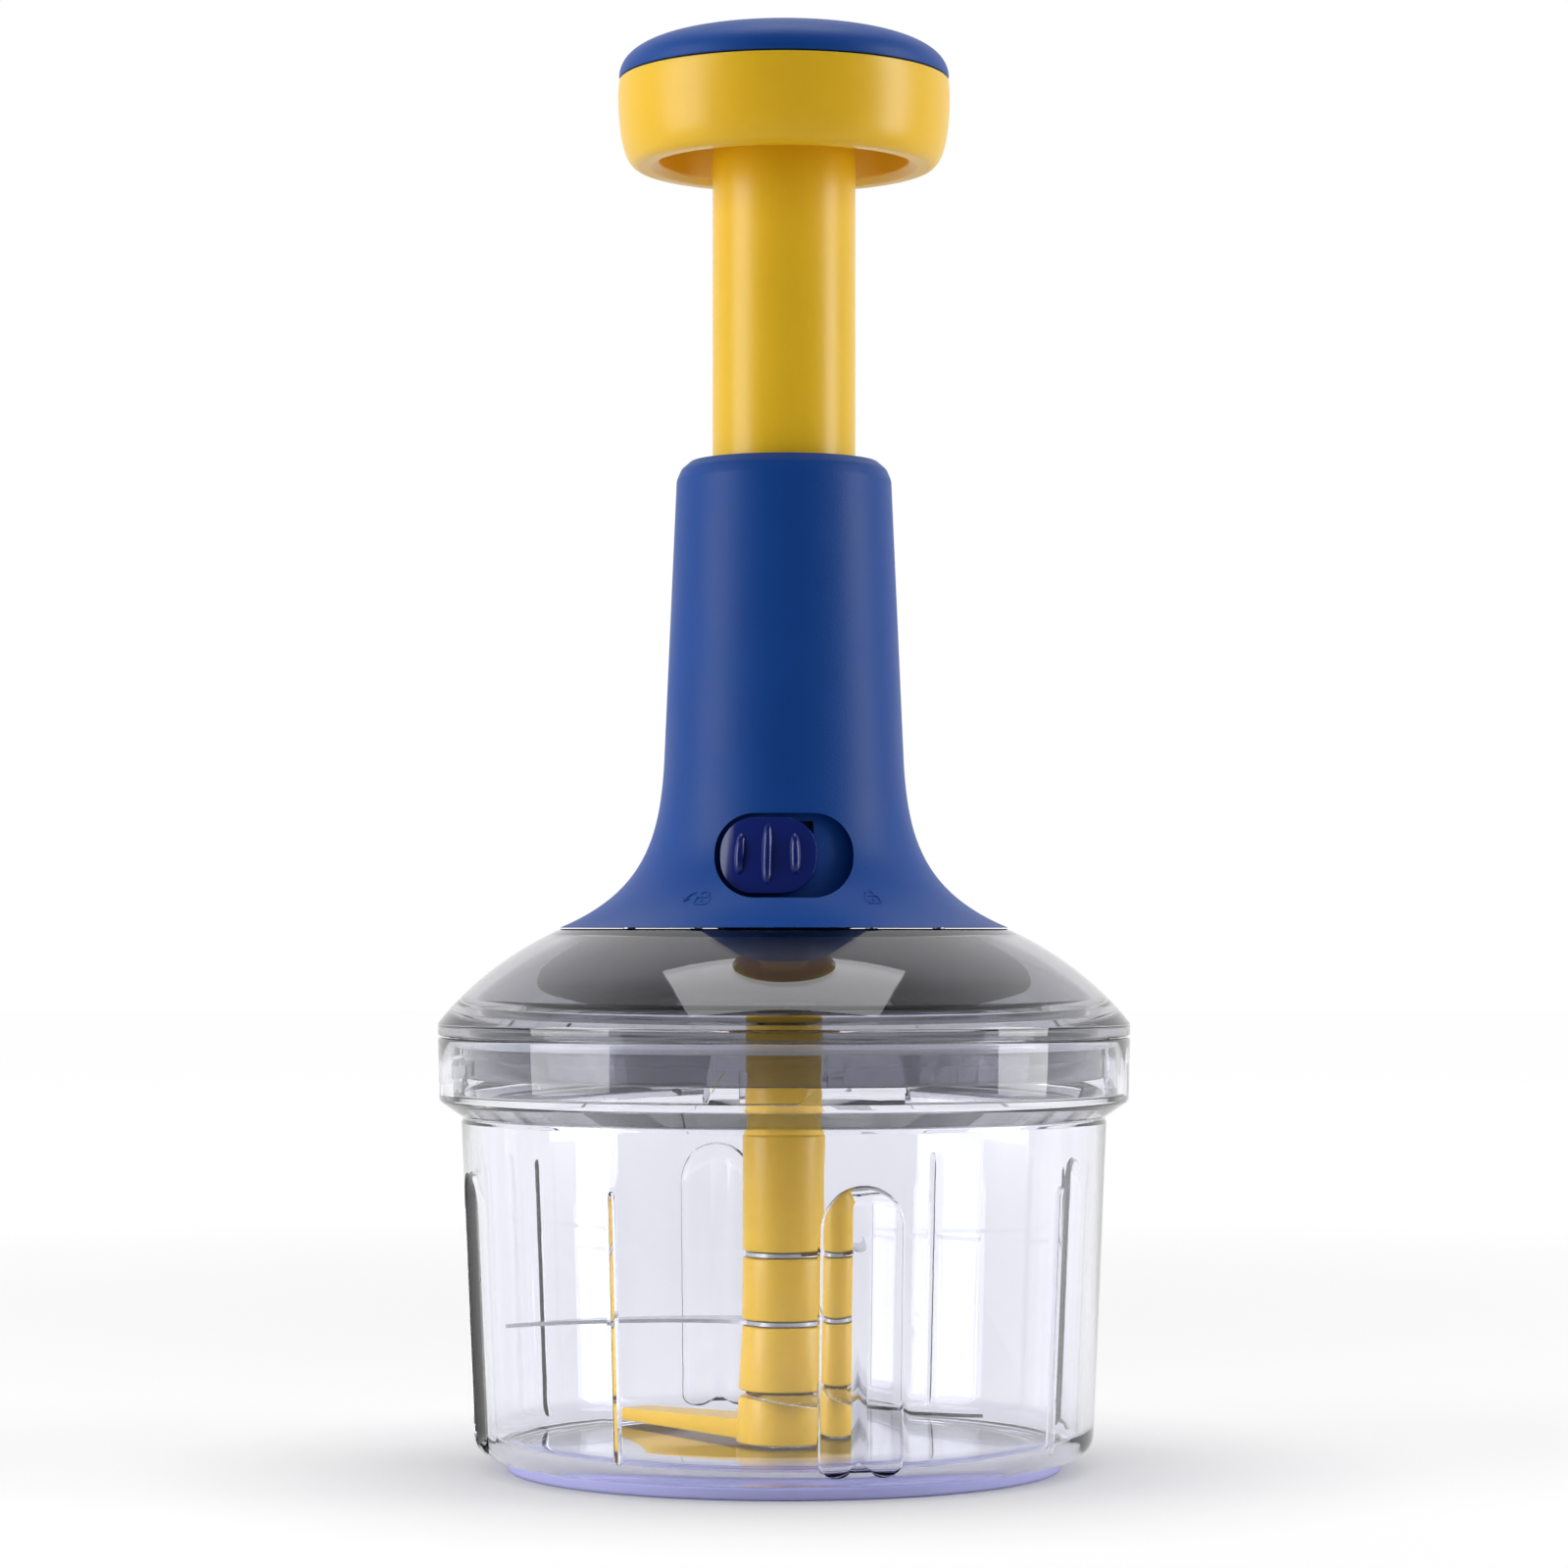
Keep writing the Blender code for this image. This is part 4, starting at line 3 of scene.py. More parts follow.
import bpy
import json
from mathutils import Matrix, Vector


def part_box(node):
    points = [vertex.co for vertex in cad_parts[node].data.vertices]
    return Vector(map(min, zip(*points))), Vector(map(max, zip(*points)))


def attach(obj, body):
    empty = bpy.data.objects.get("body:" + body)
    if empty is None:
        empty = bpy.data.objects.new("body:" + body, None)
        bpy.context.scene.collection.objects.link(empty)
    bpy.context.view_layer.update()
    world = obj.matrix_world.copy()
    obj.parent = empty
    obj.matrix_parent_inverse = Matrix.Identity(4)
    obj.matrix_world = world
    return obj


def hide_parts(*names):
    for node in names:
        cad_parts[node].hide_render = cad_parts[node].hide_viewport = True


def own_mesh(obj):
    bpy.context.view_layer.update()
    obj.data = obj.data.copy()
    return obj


bl_info = {
    "name": "Food Chopper Studio",
    "version": (1, 0, 0),
    "blender": (4, 5, 0),
    "location": "View3D > Sidebar > Chopper",
    "description": "Builds a plunger food chopper and the studio that it stands in",
    "category": "Object",
}

import json
from math import atan2, cos, hypot, pi, radians, sin, tan

import bmesh
import bpy
from bpy.props import FloatProperty, FloatVectorProperty, IntProperty, PointerProperty
from mathutils import Matrix, Vector

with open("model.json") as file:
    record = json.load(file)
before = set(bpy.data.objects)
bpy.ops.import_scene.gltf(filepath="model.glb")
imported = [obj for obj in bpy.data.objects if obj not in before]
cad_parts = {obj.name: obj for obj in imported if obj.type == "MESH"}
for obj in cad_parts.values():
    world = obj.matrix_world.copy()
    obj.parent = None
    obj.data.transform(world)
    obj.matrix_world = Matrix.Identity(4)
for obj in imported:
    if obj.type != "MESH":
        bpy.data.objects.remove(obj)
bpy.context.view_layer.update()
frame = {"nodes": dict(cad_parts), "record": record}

MM = 0.001
FRONT = -pi / 2
SMOOTH_ANGLE = radians(32)
MERGE = 1e-6
SCREW_HOLE = 0.0016
SLEEVE_SCREW_CIRCLE = 0.0217
HOUSING_SCREW_CIRCLE = 0.0380
RECESS_FOOT = 0.0062
RECESS_HEIGHT = 0.0180
RECESS_RADIUS = 0.0252
RECESS_SLOPE = 0.2
LOCK_TURN = radians(-6.5)
LOCK_TRAVEL = radians(13)
BOXES = {}


def box_of(node):
    """The box of a CAD node, measured once."""
    if node not in BOXES:
        BOXES[node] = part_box(node)
    return BOXES[node]


def top_of(node):
    return box_of(node)[1].z


def foot_of(node):
    return box_of(node)[0].z


def radius_of(node):
    return box_of(node)[1].x


# Sizes and colours


def length(name, default, description):
    return FloatProperty(name=name, default=default, description=description, unit="LENGTH", precision=5)


def colour(name, default, description):
    return FloatVectorProperty(
        name=name, default=default, description=description, subtype="COLOR", size=3, min=0, max=1
    )


class ChopperBowlSizes(bpy.types.PropertyGroup):
    """Sizes of the clear bowl and its tinted foot."""

    wall: length("Wall", 0.0028, "Thickness of the bowl's wall")
    floor: length("Floor", 0.0022, "Thickness of the bowl's floor")
    wall_foot: length("Wall foot radius", 0.0672, "Outer radius of the wall where the corner starts")
    wall_head: length("Wall head radius", 0.0701, "Outer radius of the wall under the collar")
    corner: length("Corner", 0.0070, "Radius of the outer corner between wall and floor")
    collar_height: length("Collar height", 0.0137, "Height of the collar that takes the lid")
    flute_width: length("Flute width", 0.0181, "Width of a flute in the wall")
    flute_top: length("Flute top", 0.0648, "Height of a flute's arch")
    flute_foot: length("Flute foot", 0.0048, "Height of a flute's rounded feet")
    tint: colour("Clear plastic", (0.93, 0.935, 0.985), "Colour of the clear plastic")
    foot_tint: colour("Foot tint", (0.66, 0.66, 0.84), "Colour of the foot ring")


class ChopperLidSizes(bpy.types.PropertyGroup):
    """Sizes of the smoky lid and of what shows through it."""

    wall: length("Wall", 0.0024, "Thickness of the dome")
    shoulder_radius: length("Shoulder radius", 0.0734, "Radius where the dome meets its edge")
    shoulder_rise: length("Shoulder rise", 0.0047, "Height of that shoulder over the lid's underside")
    sagitta: length("Dome sagitta", 0.00166, "How far the dome's outline stands out from its chord")
    skirt: length("Skirt radius", 0.0703, "Outer radius of the skirt inside the collar")
    skirt_wall: length("Skirt wall", 0.0020, "Thickness of the skirt")
    pan_radius: length("Cover radius", 0.0536, "Largest radius of the frosted cover under the deck")
    smoke: colour("Smoke", (0.46, 0.46, 0.50), "Colour of the smoky plastic")
    frost: colour("Frost", (0.27, 0.262, 0.26), "Colour of the frosted cover")


class ChopperHandleSizes(bpy.types.PropertyGroup):
    """Sizes of the handle, its lock and the knob."""

    foot: length("Foot radius", 0.0486, "Radius of the handle's flared foot")
    neck: length("Neck radius", 0.0260, "Radius where the flare ends")
    head: length("Head radius", 0.0233, "Radius at the top of the handle")
    flare: length("Flare height", 0.0361, "Height of the flare")
    wall: length("Wall", 0.0022, "Thickness of the handle's wall")
    window_width: length("Window width", 0.0294, "Width of the lock's recess")
    window_height: length("Window height", 0.0180, "Height of the lock's recess")
    button_width: length("Button width", 0.0204, "Width of the lock's button")
    tube: length("Tube radius", 0.0155, "Radius of the plunger tube")
    knob: length("Knob radius", 0.0360, "Radius of the knob")
    blue: colour("Blue", (0.0, 0.055, 0.29), "Colour of the handle and the knob's cap")
    navy: colour("Navy", (0.003, 0.014, 0.155), "Colour of the lock's button")
    yellow: colour("Yellow", (0.905, 0.545, 0.012), "Colour of the plunger, the knob and the blade column")


class ChopperBladeSizes(bpy.types.PropertyGroup):
    """Sizes of the sickle blades and the spring."""

    blade: length("Blade length", 0.0605, "Length of a blade from the axis to its tip")
    thickness: length("Blade thickness", 0.0008, "Thickness of a blade")
    grind: length("Grind", 0.0016, "Width of the ground bevel on a blade's edge")
    spring: length("Spring radius", 0.0108, "Mean radius of the return spring")
    wire: length("Wire", 0.00055, "Radius of the spring's wire")
    turns: IntProperty(name="Turns", default=9, min=3, max=20, description="Turns of the return spring")
    steel: colour("Steel", (0.56, 0.57, 0.59), "Colour of the steel pieces")


class ChopperStudio(bpy.types.PropertyGroup):
    """The studio and its camera."""

    distance: length("Camera distance", 0.98, "Distance from the camera to the chopper's axis")
    height: length("Camera height", 0.1152, "Height of the level camera")
    view_width: length("View width", 0.3405, "Width that the picture spans at the axis")
    centre_height: length("Centre height", 0.1483, "Height at the middle of the picture")
    key: FloatProperty(name="Side light", default=6.6, min=0, description="Power of each side light")
    ambient: FloatProperty(name="Ambient", default=0.24, min=0, description="Strength of the light all round")


def sizes(context):
    return context.scene.chopper


# Mesh helpers


def arc(centre, radius, start, end, count):
    """Points along an arc."""
    angles = [start + (end - start) * i / count for i in range(count + 1)]
    return [(centre[0] + radius * cos(a), centre[1] + radius * sin(a)) for a in angles]


def bezier(p0, p1, p2, p3, count):
    """Points along a cubic curve."""
    points = []
    for i in range(count + 1):
        t = i / count
        w = ((1 - t) ** 3, 3 * t * (1 - t) ** 2, 3 * t * t * (1 - t), t**3)
        points.append(tuple(sum(a * p[k] for a, p in zip(w, (p0, p1, p2, p3))) for k in (0, 1)))
    return points


def swept(start, end, shares, count):
    """A cubic curve whose handles are shares of the way across and down."""
    dx, dy = end[0] - start[0], end[1] - start[1]
    h = [(start[0] + dx * s[0], start[1] + dy * s[1]) for s in shares]
    return bezier(start, h[0], h[1], end, count)


def rounded(corners, count=5, closed=True):
    """A profile whose corners (x, y, radius) are filleted. A corner without a radius stays sharp."""
    points = []
    total = len(corners)
    for i, corner in enumerate(corners):
        x, y = corner[:2]
        fillet = corner[2] if len(corner) > 2 else 0
        if not fillet or (not closed and i in (0, total - 1)):
            points.append((x, y))
            continue
        here = Vector((x, y))
        before = Vector(corners[i - 1][:2]) - here
        after = Vector(corners[(i + 1) % total][:2]) - here
        half = before.angle(after) / 2
        reach = min(fillet / tan(half), before.length * 0.49, after.length * 0.49)
        fillet = reach * tan(half)
        middle = (before.normalized() + after.normalized()).normalized() * (fillet / sin(half))
        centre = here + middle
        a, b = here + before.normalized() * reach - centre, here + after.normalized() * reach - centre
        start, end = atan2(a.y, a.x), atan2(b.y, b.x)
        turn = (end - start + pi) % (2 * pi) - pi
        points += arc(centre, fillet, start, start + turn, count)
    return points


def stadium(width, height, rounding, count=10):
    x, y = width / 2, height / 2
    return rounded([(x, y, rounding), (-x, y, rounding), (-x, -y, rounding), (x, -y, rounding)], count)


def polar(radius, angle, z=0.0):
    return Vector((radius * cos(angle), radius * sin(angle), z))


def section(inner, outer, low, high):
    """A four-sided profile of (radius, height)."""
    return [(inner, low), (outer, low), (outer, high), (inner, high)]


def screw_spots(circle):
    """Where the three screws on a circle stand."""
    return [polar(circle, FRONT + pi / 3 + k * 2 * pi / 3)[:2] for k in range(3)]


def settle(mesh):
    mesh.shade_smooth()
    mesh.set_sharp_from_angle(angle=SMOOTH_ANGLE)


def finish_mesh(name, work, recalculate=True):
    """Turns a bmesh into an object at the origin, with its doubles merged and its faces outwards."""
    bmesh.ops.remove_doubles(work, verts=work.verts, dist=MERGE)
    if recalculate:
        bmesh.ops.recalc_face_normals(work, faces=work.faces)
    mesh = bpy.data.meshes.new(name)
    work.to_mesh(mesh)
    work.free()
    settle(mesh)
    piece = bpy.data.objects.new(name, mesh)
    bpy.context.scene.collection.objects.link(piece)
    return piece


def chain(work, points, closed):
    verts = [work.verts.new(p) for p in points]
    pairs = list(zip(verts, verts[1:])) + ([(verts[-1], verts[0])] if closed else [])
    return verts, [work.edges.new(pair) for pair in pairs]


def spun(name, profile, steps=160, closed=True):
    """A profile of (radius, height) spun about the chopper's axis."""
    work = bmesh.new()
    verts, edges = chain(work, [(r, 0, z) for r, z in profile], closed)
    bmesh.ops.spin(
        work, geom=verts + edges, cent=(0, 0, 0), axis=(0, 0, 1), angle=2 * pi, steps=steps, use_merge=True
    )
    return finish_mesh(name, work)


def layered(name, layers, place=Matrix()):
    """A closed solid grown from a flat outline. Every layer has as many points as the first."""
    work = bmesh.new()
    verts, edges = chain(work, layers[0], True)
    bmesh.ops.contextual_create(work, geom=edges)
    for low, high in zip(layers, layers[1:]):
        made = bmesh.ops.extrude_edge_only(work, edges=edges)["geom"]
        verts = [item for item in made if isinstance(item, bmesh.types.BMVert)]
        rims = [item for item in made if isinstance(item, bmesh.types.BMEdge)]
        edges = [item for item in rims if set(item.verts) <= set(verts)]
        for vert in verts:
            nearest = min(range(len(low)), key=lambda i: (Vector(low[i]) - vert.co).length_squared)
            vert.co = high[nearest]
    bmesh.ops.contextual_create(work, geom=edges)
    bmesh.ops.transform(work, matrix=place, verts=work.verts)
    return finish_mesh(name, work)


def spin_z(angle):
    return Matrix.Rotation(angle, 4, "Z")


def prism(name, outline, low, high):
    """An upright solid over a flat outline of any shape."""
    return layered(name, [[(p[0], p[1], z) for p in outline] for z in (low, high)])


def swept_block(name, profile, start, end, steps=24):
    """A profile of (radius, height) spun through part of a turn and capped."""
    work = bmesh.new()
    verts, edges = chain(work, [polar(r, FRONT + start, z) for r, z in profile], True)
    bmesh.ops.contextual_create(work, geom=edges)
    made = bmesh.ops.spin(
        work, geom=verts + edges, cent=(0, 0, 0), axis=(0, 0, 1), angle=end - start, steps=steps
    )
    last = [item for item in made["geom_last"] if isinstance(item, bmesh.types.BMEdge)]
    bmesh.ops.contextual_create(work, geom=last)
    return finish_mesh(name, work)


def pillar(name, radius, bottom, top, segments=32, place=(0, 0)):
    """A round bar, used to drill and to add bosses."""
    work = bmesh.new()
    bmesh.ops.create_cone(
        work, cap_ends=True, segments=segments, radius1=radius, radius2=radius, depth=top - bottom
    )
    bmesh.ops.translate(work, verts=work.verts, vec=(place[0], place[1], (top + bottom) / 2))
    return finish_mesh(name, work)


def wires(name, paths, radius, resolution=3):
    """Round wire along each path of (points, closed)."""
    curve = bpy.data.curves.new(name, "CURVE")
    curve.dimensions = "3D"
    curve.bevel_depth = radius
    curve.bevel_resolution = resolution
    curve.use_fill_caps = True
    for points, closed in paths:
        line = curve.splines.new("POLY")
        line.points.add(len(points) - 1)
        line.use_cyclic_u = closed
        for point, place in zip(line.points, points):
            point.co = (*place, 1)
    holder = bpy.data.objects.new(name, curve)
    bpy.context.scene.collection.objects.link(holder)
    bpy.context.view_layer.update()
    shape = bpy.data.meshes.new_from_object(holder.evaluated_get(bpy.context.evaluated_depsgraph_get()))
    bpy.data.objects.remove(holder, do_unlink=True)
    work = bmesh.new()
    work.from_mesh(shape)
    bpy.data.meshes.remove(shape)
    return finish_mesh(name, work)


def box_piece(name, low, high, turn=0.0):
    work = bmesh.new()
    bmesh.ops.create_cube(work, size=1)
    low, high = Vector(low), Vector(high)
    bmesh.ops.scale(work, verts=work.verts, vec=high - low)
    bmesh.ops.translate(work, verts=work.verts, vec=(low + high) / 2)
    bmesh.ops.rotate(work, verts=work.verts, matrix=Matrix.Rotation(turn, 3, "Z"))
    return finish_mesh(name, work)


def bake(piece):
    """Applies the modifiers of a piece to its mesh."""
    bpy.context.view_layer.update()
    shaped = piece.evaluated_get(bpy.context.evaluated_depsgraph_get())
    mesh = bpy.data.meshes.new_from_object(shaped)
    piece.modifiers.clear()
    old, piece.data = piece.data, mesh
    bpy.data.meshes.remove(old)
    settle(piece.data)
    return piece


def carve(piece, tools, operation="DIFFERENCE"):
    """Cuts, joins or trims a piece with tools, which are then removed."""
    for tool in tools:
        boolean = piece.modifiers.new(tool.name, "BOOLEAN")
        boolean.operation = operation
        boolean.solver = "EXACT"
        boolean.object = tool
        bake(piece)
        bpy.data.objects.remove(tool, do_unlink=True)
    return piece


def soften(piece, width, segments=2, angle=radians(40)):
    """Breaks the sharp edges of a piece."""
    bevel = piece.modifiers.new("soft edges", "BEVEL")
    bevel.width = width
    bevel.segments = segments
    bevel.limit_method = "ANGLE"
    bevel.angle_limit = angle
    bevel.use_clamp_overlap = True
    return bake(piece)


def fitted(piece, material, body, slot, *nodes):
    """Gives a piece its finish and lets it stand for CAD nodes."""
    piece.data.materials.clear()
    piece.data.materials.append(material)
    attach(piece, body)
    if nodes:
        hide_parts(*nodes)
    return piece


# Finishes


def new_finish(name):
    """An empty material with its Principled shader, nodes and links."""
    material = bpy.data.materials.new(name)
    material.use_nodes = True
    tree = material.node_tree
    return material, tree.nodes, tree.links, tree.nodes["Principled BSDF"]


def noise(nodes, links, scale, detail=2.0, stretch=(1, 1, 1)):
    """Noise on the piece's own coordinates."""
    coordinates = nodes.new("ShaderNodeTexCoord")
    mapping = nodes.new("ShaderNodeMapping")
    mapping.inputs["Scale"].default_value = stretch
    texture = nodes.new("ShaderNodeTexNoise")
    texture.inputs["Scale"].default_value = scale
    texture.inputs["Detail"].default_value = detail
    links.new(coordinates.outputs["Object"], mapping.inputs["Vector"])
    links.new(mapping.outputs["Vector"], texture.inputs["Vector"])
    return texture.outputs["Fac"]


def spread(nodes, links, source, low, high):
    """Maps noise to a range of values."""
    remap = nodes.new("ShaderNodeMapRange")
    remap.inputs["From Min"].default_value = 0.3
    remap.inputs["From Max"].default_value = 0.7
    remap.inputs["To Min"].default_value = low
    remap.inputs["To Max"].default_value = high
    links.new(source, remap.inputs["Value"])
    return remap.outputs["Result"]


def shaded(nodes, links, source, base, change):
    """A colour that wanders a little darker and lighter with noise."""
    mix = nodes.new("ShaderNodeMix")
    mix.data_type = "RGBA"
    mix.inputs["A"].default_value = (*[c * (1 - change) for c in base], 1)
    mix.inputs["B"].default_value = (*[min(1, c * (1 + change)) for c in base], 1)
    links.new(spread(nodes, links, source, 0, 1), mix.inputs["Factor"])
    return mix.outputs["Result"]


def relief(nodes, links, source, strength, distance):
    bump = nodes.new("ShaderNodeBump")
    bump.inputs["Strength"].default_value = strength
    bump.inputs["Distance"].default_value = distance
    links.new(source, bump.inputs["Height"])
    return bump.outputs["Normal"]


def moulded_plastic(name, base, roughness, grain, depth, change=0.04, subsurface=0.0, shine=0.5):
    """Opaque moulded plastic: a faint flow in its colour, an uneven sheen and a fine eroded grain."""
    material, nodes, links, shader = new_finish(name)
    flow = noise(nodes, links, 45, 3)
    fine = noise(nodes, links, grain, 2)
    links.new(shaded(nodes, links, flow, base, change), shader.inputs["Base Color"])
    links.new(spread(nodes, links, flow, roughness - 0.04, roughness + 0.04), shader.inputs["Roughness"])
    links.new(relief(nodes, links, fine, 0.6, depth), shader.inputs["Normal"])
    shader.inputs["IOR"].default_value = 1.46
    shader.inputs["Specular IOR Level"].default_value = shine
    if subsurface:
        shader.inputs["Subsurface Weight"].default_value = subsurface
        shader.inputs["Subsurface Radius"].default_value = (1.0, 0.55, 0.1)
        shader.inputs["Subsurface Scale"].default_value = 0.004
    return material


def clear_plastic(name, base, roughness, grain=260, depth=0.00001, transmission=1.0):
    """See-through moulded plastic with slight waves in its faces. Lamps shine through it."""
    material, nodes, links, shader = new_finish(name)
    waves = noise(nodes, links, grain, 1)
    fine = noise(nodes, links, 900, 2)
    links.new(shaded(nodes, links, waves, base, 0.006), shader.inputs["Base Color"])
    links.new(spread(nodes, links, fine, roughness, roughness * 1.6), shader.inputs["Roughness"])
    links.new(relief(nodes, links, waves, 0.25, depth), shader.inputs["Normal"])
    shader.inputs["IOR"].default_value = 1.5
    shader.inputs["Transmission Weight"].default_value = transmission
    path = nodes.new("ShaderNodeLightPath")
    gap = nodes.new("ShaderNodeBsdfTransparent")
    gap.inputs["Color"].default_value = (*[c * transmission for c in base], 1)
    choose = nodes.new("ShaderNodeMixShader")
    links.new(path.outputs["Is Shadow Ray"], choose.inputs[0])
    links.new(shader.outputs[0], choose.inputs[1])
    links.new(gap.outputs[0], choose.inputs[2])
    links.new(choose.outputs[0], nodes["Material Output"].inputs["Surface"])
    return material


def ground_steel(name, base, roughness=0.22, stretch=(1, 1, 1)):
    """Ground steel: fine scratches and a slightly uneven polish."""
    material, nodes, links, shader = new_finish(name)
    streaks = noise(nodes, links, 700, 3, stretch)
    links.new(shaded(nodes, links, streaks, base, 0.10), shader.inputs["Base Color"])
    links.new(spread(nodes, links, streaks, roughness - 0.06, roughness + 0.10), shader.inputs["Roughness"])
    links.new(relief(nodes, links, streaks, 0.3, 0.00002), shader.inputs["Normal"])
    shader.inputs["Metallic"].default_value = 1.0
    return material


def get_finish(name, make, *values, **more):
    """A finish by name, made once."""
    return bpy.data.materials.get(name) or make(name, *values, **more)


def yellow_finish(context):
    tone = sizes(context).handle.yellow
    return get_finish("yellow_moulded", moulded_plastic, tone, 0.33, 1500, 0.00001, 0.02, subsurface=0.25)


def blue_finish(context):
    tone = sizes(context).handle.blue
    return get_finish("blue_grained", moulded_plastic, tone, 0.46, 2600, 0.00007, 0.05, shine=0.3)


def clear_finish(context):
    return get_finish("clear_moulded", clear_plastic, sizes(context).bowl.tint, 0.008)


def cream_finish():
    return get_finish("cream_moulded", moulded_plastic, (0.66, 0.57, 0.38), 0.4, 1200, 0.00001)


def steel_finish(context):
    return get_finish("ground_steel", ground_steel, sizes(context).blades.steel)


# Bowl


def wall_radius(size, z):
    """Outer radius of the bowl's tapered wall at a height."""
    low, high = foot_of("bowl") + 0.0087, 0.0747
    return size.wall_foot + (size.wall_head - size.wall_foot) * (z - low) / (high - low)


def flute_loop(size, half, depth, top, foot, leg, notch):
    """One loop of a flute: an arch with two rounded feet, at a depth in the wall."""
    legs = half - leg
    outline = arc((0, top - half), half, 0, pi, 40)
    outline += arc((-legs, foot + leg), leg, pi, 2 * pi - notch, 14)
    outline += arc((legs, foot + leg), leg, pi + notch, 2 * pi, 14)
    return [(wall_radius(size, z) - depth, x, z) for x, z in outline]


def flute_tool(size, azimuth):
    half = size.flute_width / 2
    top, foot = size.flute_top, size.flute_foot
    rows = [
        (half, -0.001, top, foot, 0.0037),
        (half, 0.0004, top, foot, 0.0037),
        (half - 0.00035, 0.00085, top - 0.00035, foot + 0.0003, 0.0035),
        (half - 0.0008, 0.00115, top - 0.0008, foot + 0.0006, 0.0033),
        (0.00195, 0.00185, top - 0.0029, foot + 0.003, 0.0009),
        (0.00175, 0.0019, top - 0.0031, foot + 0.0032, 0.0008),
    ]
    loops = [flute_loop(size, *row, 0.6) for row in rows]
    return layered("flute", loops, spin_z(FRONT + azimuth))


def rib_tool(size, azimuth):
    """A thin rib inside the wall, rounded on top."""
    loops = []
    for side, shrink in ((-0.0008, 0.0006), (-0.0003, 0.0), (0.0003, 0.0), (0.0008, 0.0006)):
        reach = size.wall + 0.0013 - shrink
        head, heel = 0.0635 - shrink, 0.0072
        loops.append(
            [
                (wall_radius(size, head) - size.wall / 2, side, head),
                (wall_radius(size, head) - reach + 0.0006, side, head - 0.0006),
                (wall_radius(size, head) - reach, side, head - 0.0024),
                (wall_radius(size, heel) - reach, side, heel),
                (wall_radius(size, heel) - size.wall / 2, side, heel - 0.001),
            ]
        )
    return layered("rib", loops, spin_z(FRONT + azimuth))


def bayonet_tools(azimuth):
    """The ramp over the lid's lug, the stop beside it and the ledge below it."""

    def quarter(start, end, low, high, slant):
        """A block with one end curved like a quarter circle."""
        work = bmesh.new()
        inner, outer = 0.0707, 0.0731
        verts, edges = chain(work, [polar(inner, FRONT + azimuth + start, z) for z in (low, high)], False)
        bmesh.ops.spin(
            work, geom=verts + edges, cent=(0, 0, 0), axis=(0, 0, 1), angle=end - start, steps=28
        )
        for v in work.verts:
            along = (atan2(v.co.y, v.co.x) - FRONT - azimuth - start + pi) % (2 * pi) - pi
            if slant and v.co.z > (low + high) / 2:
                share = min(1.0, max(0.02, along / slant))
                v.co.z = low + (high - low) * sin(share * pi / 2)
        made = bmesh.ops.extrude_face_region(work, geom=work.faces[:])
        for v in (g for g in made["geom"] if isinstance(g, bmesh.types.BMVert)):
            scale = outer / hypot(v.co.x, v.co.y)
            v.co.x, v.co.y = v.co.x * scale, v.co.y * scale
        return finish_mesh("bayonet", work)

    ramp_z = foot_of("lid_dome") + 0.0003 + 0.0026 + 0.0004
    ledge = 0.0807
    return [
        quarter(radians(-11.5), radians(6.0), ramp_z, ramp_z + 0.0025, 0),
        quarter(radians(-12.6), radians(-7.1), ledge, ramp_z + 0.0008, radians(4.5)),
        quarter(radians(1.8), radians(19.5), ledge, foot_of("lid_dome") - 0.0006, radians(3.6)),
    ]


class CHOPPER_OT_bowl(bpy.types.Operator):
    """Clear bowl with its collar, flutes, inner ribs and bayonet"""

    bl_idname = "chopper.bowl"
    bl_label = "Bowl"

    def execute(self, context):
        size = sizes(context).bowl
        base, top = foot_of("bowl") + 0.0017, top_of("bowl")
        rim = radius_of("bowl")
        floor = base + size.floor
        lean = (size.wall_head - size.wall_foot) / (0.0747 - base - size.corner)
        collar = top - size.collar_height
        corners = [
            (rim, top, 0.0006),
            (rim - 0.0003, collar, 0.0012),
            (size.wall_head - 0.0006, 0.0762, 0.0008),
            (size.wall_head - 0.0002, 0.0752, 0.0006),
            (size.wall_foot - size.corner * lean, base, size.corner),
            (0.0570, base, 0.0),
            (0.0570, base - 0.0016, 0.0002),
            (0.0550, base - 0.0016, 0.0002),
            (0.0550, base, 0.0),
            (0.0075, base, 0.0004),
            (0.0075, base - 0.0017, 0.0003),
            (0.0048, base - 0.0017, 0.0),
            (0.0048, base - 0.0003, 0.0),
            (0.0028, base - 0.0003, 0.0),
            (0.0028, floor, 0.0),
            (size.wall_foot - size.wall - size.corner * lean, floor, 0.0050),
            (size.wall_head - size.wall, 0.0771, 0.0015),
            (rim - 0.0053, 0.0813, 0.0003),
            (rim - 0.0025, 0.0813, 0.0004),
            (rim - 0.0025, top, 0.0006),
        ]
        bowl = spun("bowl_clear", rounded(corners, 6), 192)
        tools = [rib_tool(size, radians(-31.5) + k * pi / 2) for k in range(4)]
        for k in range(4):
            tools += bayonet_tools(k * pi / 2)
        carve(bowl, tools, "UNION")
        carve(bowl, [flute_tool(size, radians(13.5) + k * pi / 2) for k in range(4)])
        fitted(bowl, clear_finish(context), "base", "clear_plastic", "bowl")
        return {"FINISHED"}


